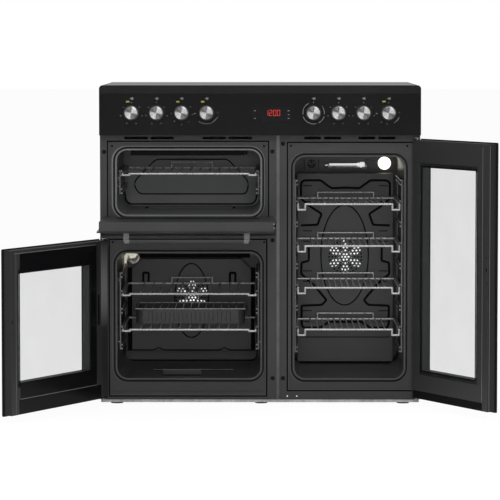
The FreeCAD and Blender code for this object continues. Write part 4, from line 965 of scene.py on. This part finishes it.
class COOKER_OT_cavity_details(bpy.types.Operator):
    """Pressed lines on the ovens' back walls, lamp reflectors and the sensor's sleeve"""
    bl_idname = "cooker.cavity_details"
    bl_label = "Cavity details"

    grill_outline = [(-308.8, 673.1), (-95.4, 673.1), (-34.7, 608.7), (-34.7, 590.9), (-41.5, 570.4),
                     (-357.0, 570.4), (-371.8, 590.9), (-371.8, 608.7), (-308.8, 673.1)]
    grill_base = [(-402.0, 580.0), (-397.0, 550.0), (-386.0, 540.5), (-24.0, 540.5),
                  (-13.0, 550.0), (-7.0, 580.0)]
    lamp_facets = [[(-402.0, 388.0), (-389.0, 404.0), (-396.0, 366.0), (-402.0, 342.0)],
                   [(-393.0, 398.0), (-362.0, 392.5), (-371.0, 381.0), (-385.0, 380.0)]]
    # Left and right end in millimetres, and radius, of the sensor's sleeve, step and collar.
    sensor_bars = [(205.0, 289.0, 0.0048), (288.0, 296.0, 0.0066), (296.0, 309.0, 0.0088)]

    def execute(self, context):
        # Painted shadow: the pressed lines, marks and ring on the back walls are drawn dark for the shade in
        # them.
        dark = ink_and_painted_shadow("wall_press_painted_shade")
        y = CAVITY_BACK_Y - 0.2
        ledge_ends = [(x - 4.0, x + 4.0, 535.9, 539.5) for x in (-330.0, -76.0)]
        upright_marks = [(x - 0.8, x + 0.8, 641.0, 672.0) for x in (131.0, 173.5)]
        triangle = [(146.0, 654.0), (152.9, 667.0), (159.8, 654.0), (146.0, 654.0)]
        lines = [drawn("line", self.grill_outline, y, 0.0019, 0.010),
                 drawn("line", self.grill_base, y, 0.0024, 0.006)]
        lines += flat_bars("line", ledge_ends, (56.0, 64.0), 0.001)
        lines += flat_bars("line", upright_marks, (199.0, 200.2), 0.0002)
        lines.append(drawn("line", triangle, 199.5, 0.0024))
        centre = point(152.9, 200.0, 659.4)
        ring = [(0.0102, -0.0010), (0.0112, -0.0022), (0.0122, -0.0010), (0.0112, 0.0004), (0.0102, -0.0010)]
        lines.append(turned("line", ring, centre))
        finished(joined("wall_lines", lines), "root", dark)
        # Painted highlight: two pale lines along the grill floor's ledge.
        ledge = [drawn("ledge", [(-322.0, z), (-84.0, z)], 60.0, 0.0007) for z in (536.2, 538.4)]
        painted_highlight_edge = coated("ledge_painted_highlight", (0.075, 0.075, 0.078), 0.34, 900.0, 0.2, 0.0)
        finished(joined("grill_floor_ledge", ledge), "root", painted_highlight_edge)
        shield = block("grill_shield", point(-366.0, -197.0, 700.0), point(-43.0, -194.5, 716.0), 0.001)
        finished(shield, "root", ink_and_painted_shadow("shield_shadow", 0.006))
        self.reflectors()
        self.sensor()
        return {"FINISHED"}

    def reflectors(self):
        """The facets round the main oven's lamp, made bright by a painted glow, though they are no lamp."""
        reflector_painted_light = glowing("reflector_painted_glow", (0.62, 0.59, 0.48), 0.7)
        plates = [plate("facet", [point(x, LAMP_PLATE_Y, z) for x, z in places], 0.003, 0.0006)
                  for places in self.lamp_facets]
        finished(joined("main_lamp_reflector", plates), "root", reflector_painted_light)

    def sensor(self):
        """A thin wire, a sleeve and a collar, all made bright by a painted glow."""
        sensor_painted_glint = glowing("sensor_steel_painted_glint", even(0.62), 1.0)
        pieces = [drawn("sleeve", [(x0, SENSOR_Z), (x1, SENSOR_Z)], SENSOR_Y, radius)
                  for x0, x1, radius in self.sensor_bars]
        pieces.append(strand("sleeve", [point(193.0, SENSOR_Y + 2.0, SENSOR_Z - 1.0),
                                        point(206.0, SENSOR_Y + 1.0, SENSOR_Z)], 0.0012))
        finished(joined("sensor_sleeve", pieces), "root", sensor_painted_glint)


class COOKER_OT_fan_stars(bpy.types.Operator):
    """The star on each fan's shaft, seen through its cover, made bright by a painted glow"""
    bl_idname = "cooker.fan_stars"
    bl_label = "Fan stars"

    def star(self, body, x, z, front, reach, count, material):
        """Kite-shaped blades round a hub whose shaft reaches back to the fan."""
        hub = point(x, front, z)
        kite = [(0.006, -0.005), (0.034, -0.0115), (reach, 0.0), (0.034, 0.0115), (0.006, 0.005)]
        blade = plate("blade", [hub + Vector((along, 0.0, across)) for along, across in kite], 0.001)
        blades = [rotated(copy_of(blade, "blade", Vector()), 2 * math.pi * (i + 0.5) / count, "Y", hub)
                  for i in range(count)]
        bpy.data.objects.remove(blade)
        depth = FAN_Y * MM - hub.y
        shaft = [(0.0, 0.0), (0.0092, 0.0), (0.0092, 0.001), (0.004, 0.002), (0.004, depth), (0.0, depth)]
        blades.append(turned("shaft", shaft, hub))
        finished(joined(body + "_star", blades), body, material)

    def execute(self, context):
        count = context.scene.cooker_sizes.star_blades
        # Painted light: the blades glow, though they are no lamp.
        bright = glowing("painted_glow_blade", even(0.80), 0.9, 0.35, 210.0)
        self.star("main_fan", MAIN_MIDDLE_X, MAIN_FAN_Z, MAIN_COVER_Y + STAR_GAP, 0.060, count, bright)
        self.star("tall_fan", TALL_MIDDLE_X, TALL_FAN_Z, TALL_COVER_Y + STAR_GAP, 0.064, count, bright)
        return {"FINISHED"}


class COOKER_OT_door_trims(bpy.types.Operator):
    """Profiles, marks and slots on the inner sides of the doors"""
    bl_idname = "cooker.door_trims"
    bl_label = "Door trims"

    def strip(self, name, side, u, z, depth, rounding=0.0008):
        """A flat strip on a shut side door's inner face; u and z are pairs in millimetres."""
        xs = sorted((door_x(side, u[0]), door_x(side, u[1])))
        low = point(xs[0], DOOR_INNER_Y - 0.2, z[0])
        high = point(xs[1], DOOR_INNER_Y + depth, z[1])
        return block(name, low, high, rounding)

    def execute(self, context):
        black = ink_and_painted_shadow("trim_black", 0.003)
        line = coated("trim_line", (0.16, 0.16, 0.165), 0.4, 1100.0, 0.2, 0.0)
        inner = coated("inner_print", (0.004, 0.004, 0.0045), 0.16, 900.0, 0.2, 0.0, shine=0.12)
        self.main_door(black, line, inner)
        self.tall_door(black, line)
        for name, side, window in (("main", -1, MAIN_WINDOW), ("tall", 1, TALL_WINDOW)):
            finished(swung(self.window_border(name, window), side), name + "_door", black)
        self.grill_door(black)
        return {"FINISHED"}

    def marks(self, side, u, rows):
        return [self.strip("mark", side, (u - wide, u + wide), (z - tall, z + tall), 0.2, PRINT_EDGE)
                for z, wide, tall in rows]

    def main_door(self, black, line, inner):
        side, window = -1, (86.0, 441.0)
        plates = [self.strip("plate", side, (54.0, 86.0), (62.5, 455.0), 0.15),
                  self.strip("plate", side, window, (62.5, 106.0), 0.15),
                  self.strip("plate", side, (-4.0, 446.0), (21.0, 61.0), 0.15),
                  self.strip("plate", side, window, (401.0, 455.0), 0.15)]
        finished(swung(joined("main_door_inner_print", plates), side), "main_door", inner)
        lines = [self.strip("line", side, (54.0, 441.0), (61.2, 62.6), 0.2),
                 self.strip("line", side, (54.0, 470.0), (455.0, 456.4), 0.2),
                 self.strip("line", side, (459.4, 460.4), (24.0, 460.0), 0.2)]
        finished(swung(joined("main_door_lines", lines), side), "main_door", line)
        dark = self.marks(side, 479.0, [(240.0, 1.3, 2.4), (273.0, 2.4, 4.0), (307.0, 1.3, 2.4)])
        # The slot is drawn black as painted shadow in its recess; the marks round it are print.
        dark.append(self.strip("slot", side, (39.0, 48.0), (230.0, 314.0), 0.3))
        dark += self.marks(side, 22.0, [(300.0, 1.6, 3.0), (262.0, 1.6, 3.0), (240.0, 1.3, 2.0)])
        finished(swung(joined("main_door_marks", dark), side), "main_door", black)
        band = self.strip("main_door_hinge_band", side, (-3.0, 31.0), (24.0, 460.0), 0.25)
        finished(swung(band, side), "main_door", hinge_painted_highlight())

    def tall_door(self, black, line):
        side = 1
        lines = [self.strip("line", side, (352.6, 354.0), (44.0, 736.0), 0.2),
                 self.strip("line", side, (388.6, 390.0), (24.0, 742.0), 0.2)]
        finished(swung(joined("tall_door_lines", lines), side), "tall_door", line)
        dark = self.marks(side, 373.0, [(370.0, 1.6, 2.4), (406.0, 2.6, 4.0), (439.0, 1.6, 2.4)])
        dark.append(self.strip("foot", side, (0.0, 355.0), (21.0, 43.0), 0.2))
        finished(swung(joined("tall_door_marks", dark), side), "tall_door", black)

    def window_border(self, name, window):
        """The black line printed round a window on its inner pane."""
        x0, x1, z0, z1 = window
        outer = (x0 - BORDER_WIDTH, x1 + BORDER_WIDTH, z0 - BORDER_WIDTH, z1 + BORDER_WIDTH)
        return joined(name + "_window_border", rim("border", outer, BORDER_WIDTH, BORDER_DEPTHS))

    def grill_door(self, black):
        """The long slot pressed into the inner side of the open grill door, drawn black as painted shadow in
        the recess.
        """
        low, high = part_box("grill_door_frame")
        slot = block("grill_door_slot", Vector((low.x + 0.040, high.y - 0.090, high.z - 0.0002)),
                     Vector((high.x - 0.040, high.y - 0.060, high.z + 0.0003)), 0.0002)
        finished(slot, "grill_door", black)


class COOKER_OT_tray_flutes(bpy.types.Operator):
    """The upright flutes pressed into the front of the roasting tray"""
    bl_idname = "cooker.tray_flutes"
    bl_label = "Tray flutes"

    def execute(self, context):
        low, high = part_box("roasting_tray")
        front = low.y + 0.0052
        first = Vector((low.x + 0.040, front, low.z + 0.006))
        flute = strand("tray_flute", [first, first + Vector((0.0, 0.0, high.z - low.z - 0.014))], 0.0010)
        pitch = 0.0125
        count = int((high.x - low.x - 0.080) / pitch)
        flutes = [flute]
        for i in range(1, count + 1):
            flutes.append(copy_of(flute, "tray_flute_part", Vector((i * pitch, 0.0, 0.0))))
        enamel = coated("flute_enamel", (0.034, 0.0345, 0.0355), 0.34, 420.0, 0.16, 0.0)
        finished(joined("tray_flutes", flutes), "roasting_tray", enamel)
        return {"FINISHED"}


PIECE_OPERATORS = [COOKER_OT_stage, COOKER_OT_finishes, COOKER_OT_knob_caps, COOKER_OT_panel_marks,
                   COOKER_OT_clock, COOKER_OT_cover_embossing, COOKER_OT_flange_grooves,
                   COOKER_OT_cavity_details, COOKER_OT_fan_stars,
                   COOKER_OT_door_trims, COOKER_OT_tray_flutes]


class COOKER_PT_panel(bpy.types.Panel):
    """Lists the cooker's sizes, colours and pieces"""
    bl_idname = "COOKER_PT_panel"
    bl_label = "Cooker"
    bl_space_type = "VIEW_3D"
    bl_region_type = "UI"
    bl_category = "Cooker"

    def draw(self, context):
        for group in (context.scene.cooker_sizes, context.scene.cooker_colours, context.scene.cooker_stage):
            box = self.layout.box()
            for name in group.__annotations__:
                box.prop(group, name)
        for operator in PIECE_OPERATORS:
            self.layout.operator(operator.bl_idname)


CLASSES = [CookerSizes, CookerColours, CookerStage] + PIECE_OPERATORS + [COOKER_PT_panel]


def register():
    for cls in CLASSES:
        bpy.utils.register_class(cls)
    bpy.types.Scene.cooker_sizes = PointerProperty(type=CookerSizes)
    bpy.types.Scene.cooker_colours = PointerProperty(type=CookerColours)
    bpy.types.Scene.cooker_stage = PointerProperty(type=CookerStage)


def unregister():
    del bpy.types.Scene.cooker_stage
    del bpy.types.Scene.cooker_colours
    del bpy.types.Scene.cooker_sizes
    for cls in reversed(CLASSES):
        bpy.utils.unregister_class(cls)


def main():
    register()
    bpy.ops.cooker.stage()
    bpy.ops.cooker.finishes()
    bpy.ops.cooker.knob_caps()
    bpy.ops.cooker.panel_marks()
    bpy.ops.cooker.clock()
    bpy.ops.cooker.cover_embossing()
    bpy.ops.cooker.flange_grooves()
    bpy.ops.cooker.cavity_details()
    bpy.ops.cooker.fan_stars()
    bpy.ops.cooker.door_trims()
    bpy.ops.cooker.tray_flutes()
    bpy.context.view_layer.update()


if __name__ == "__main__":
    main()
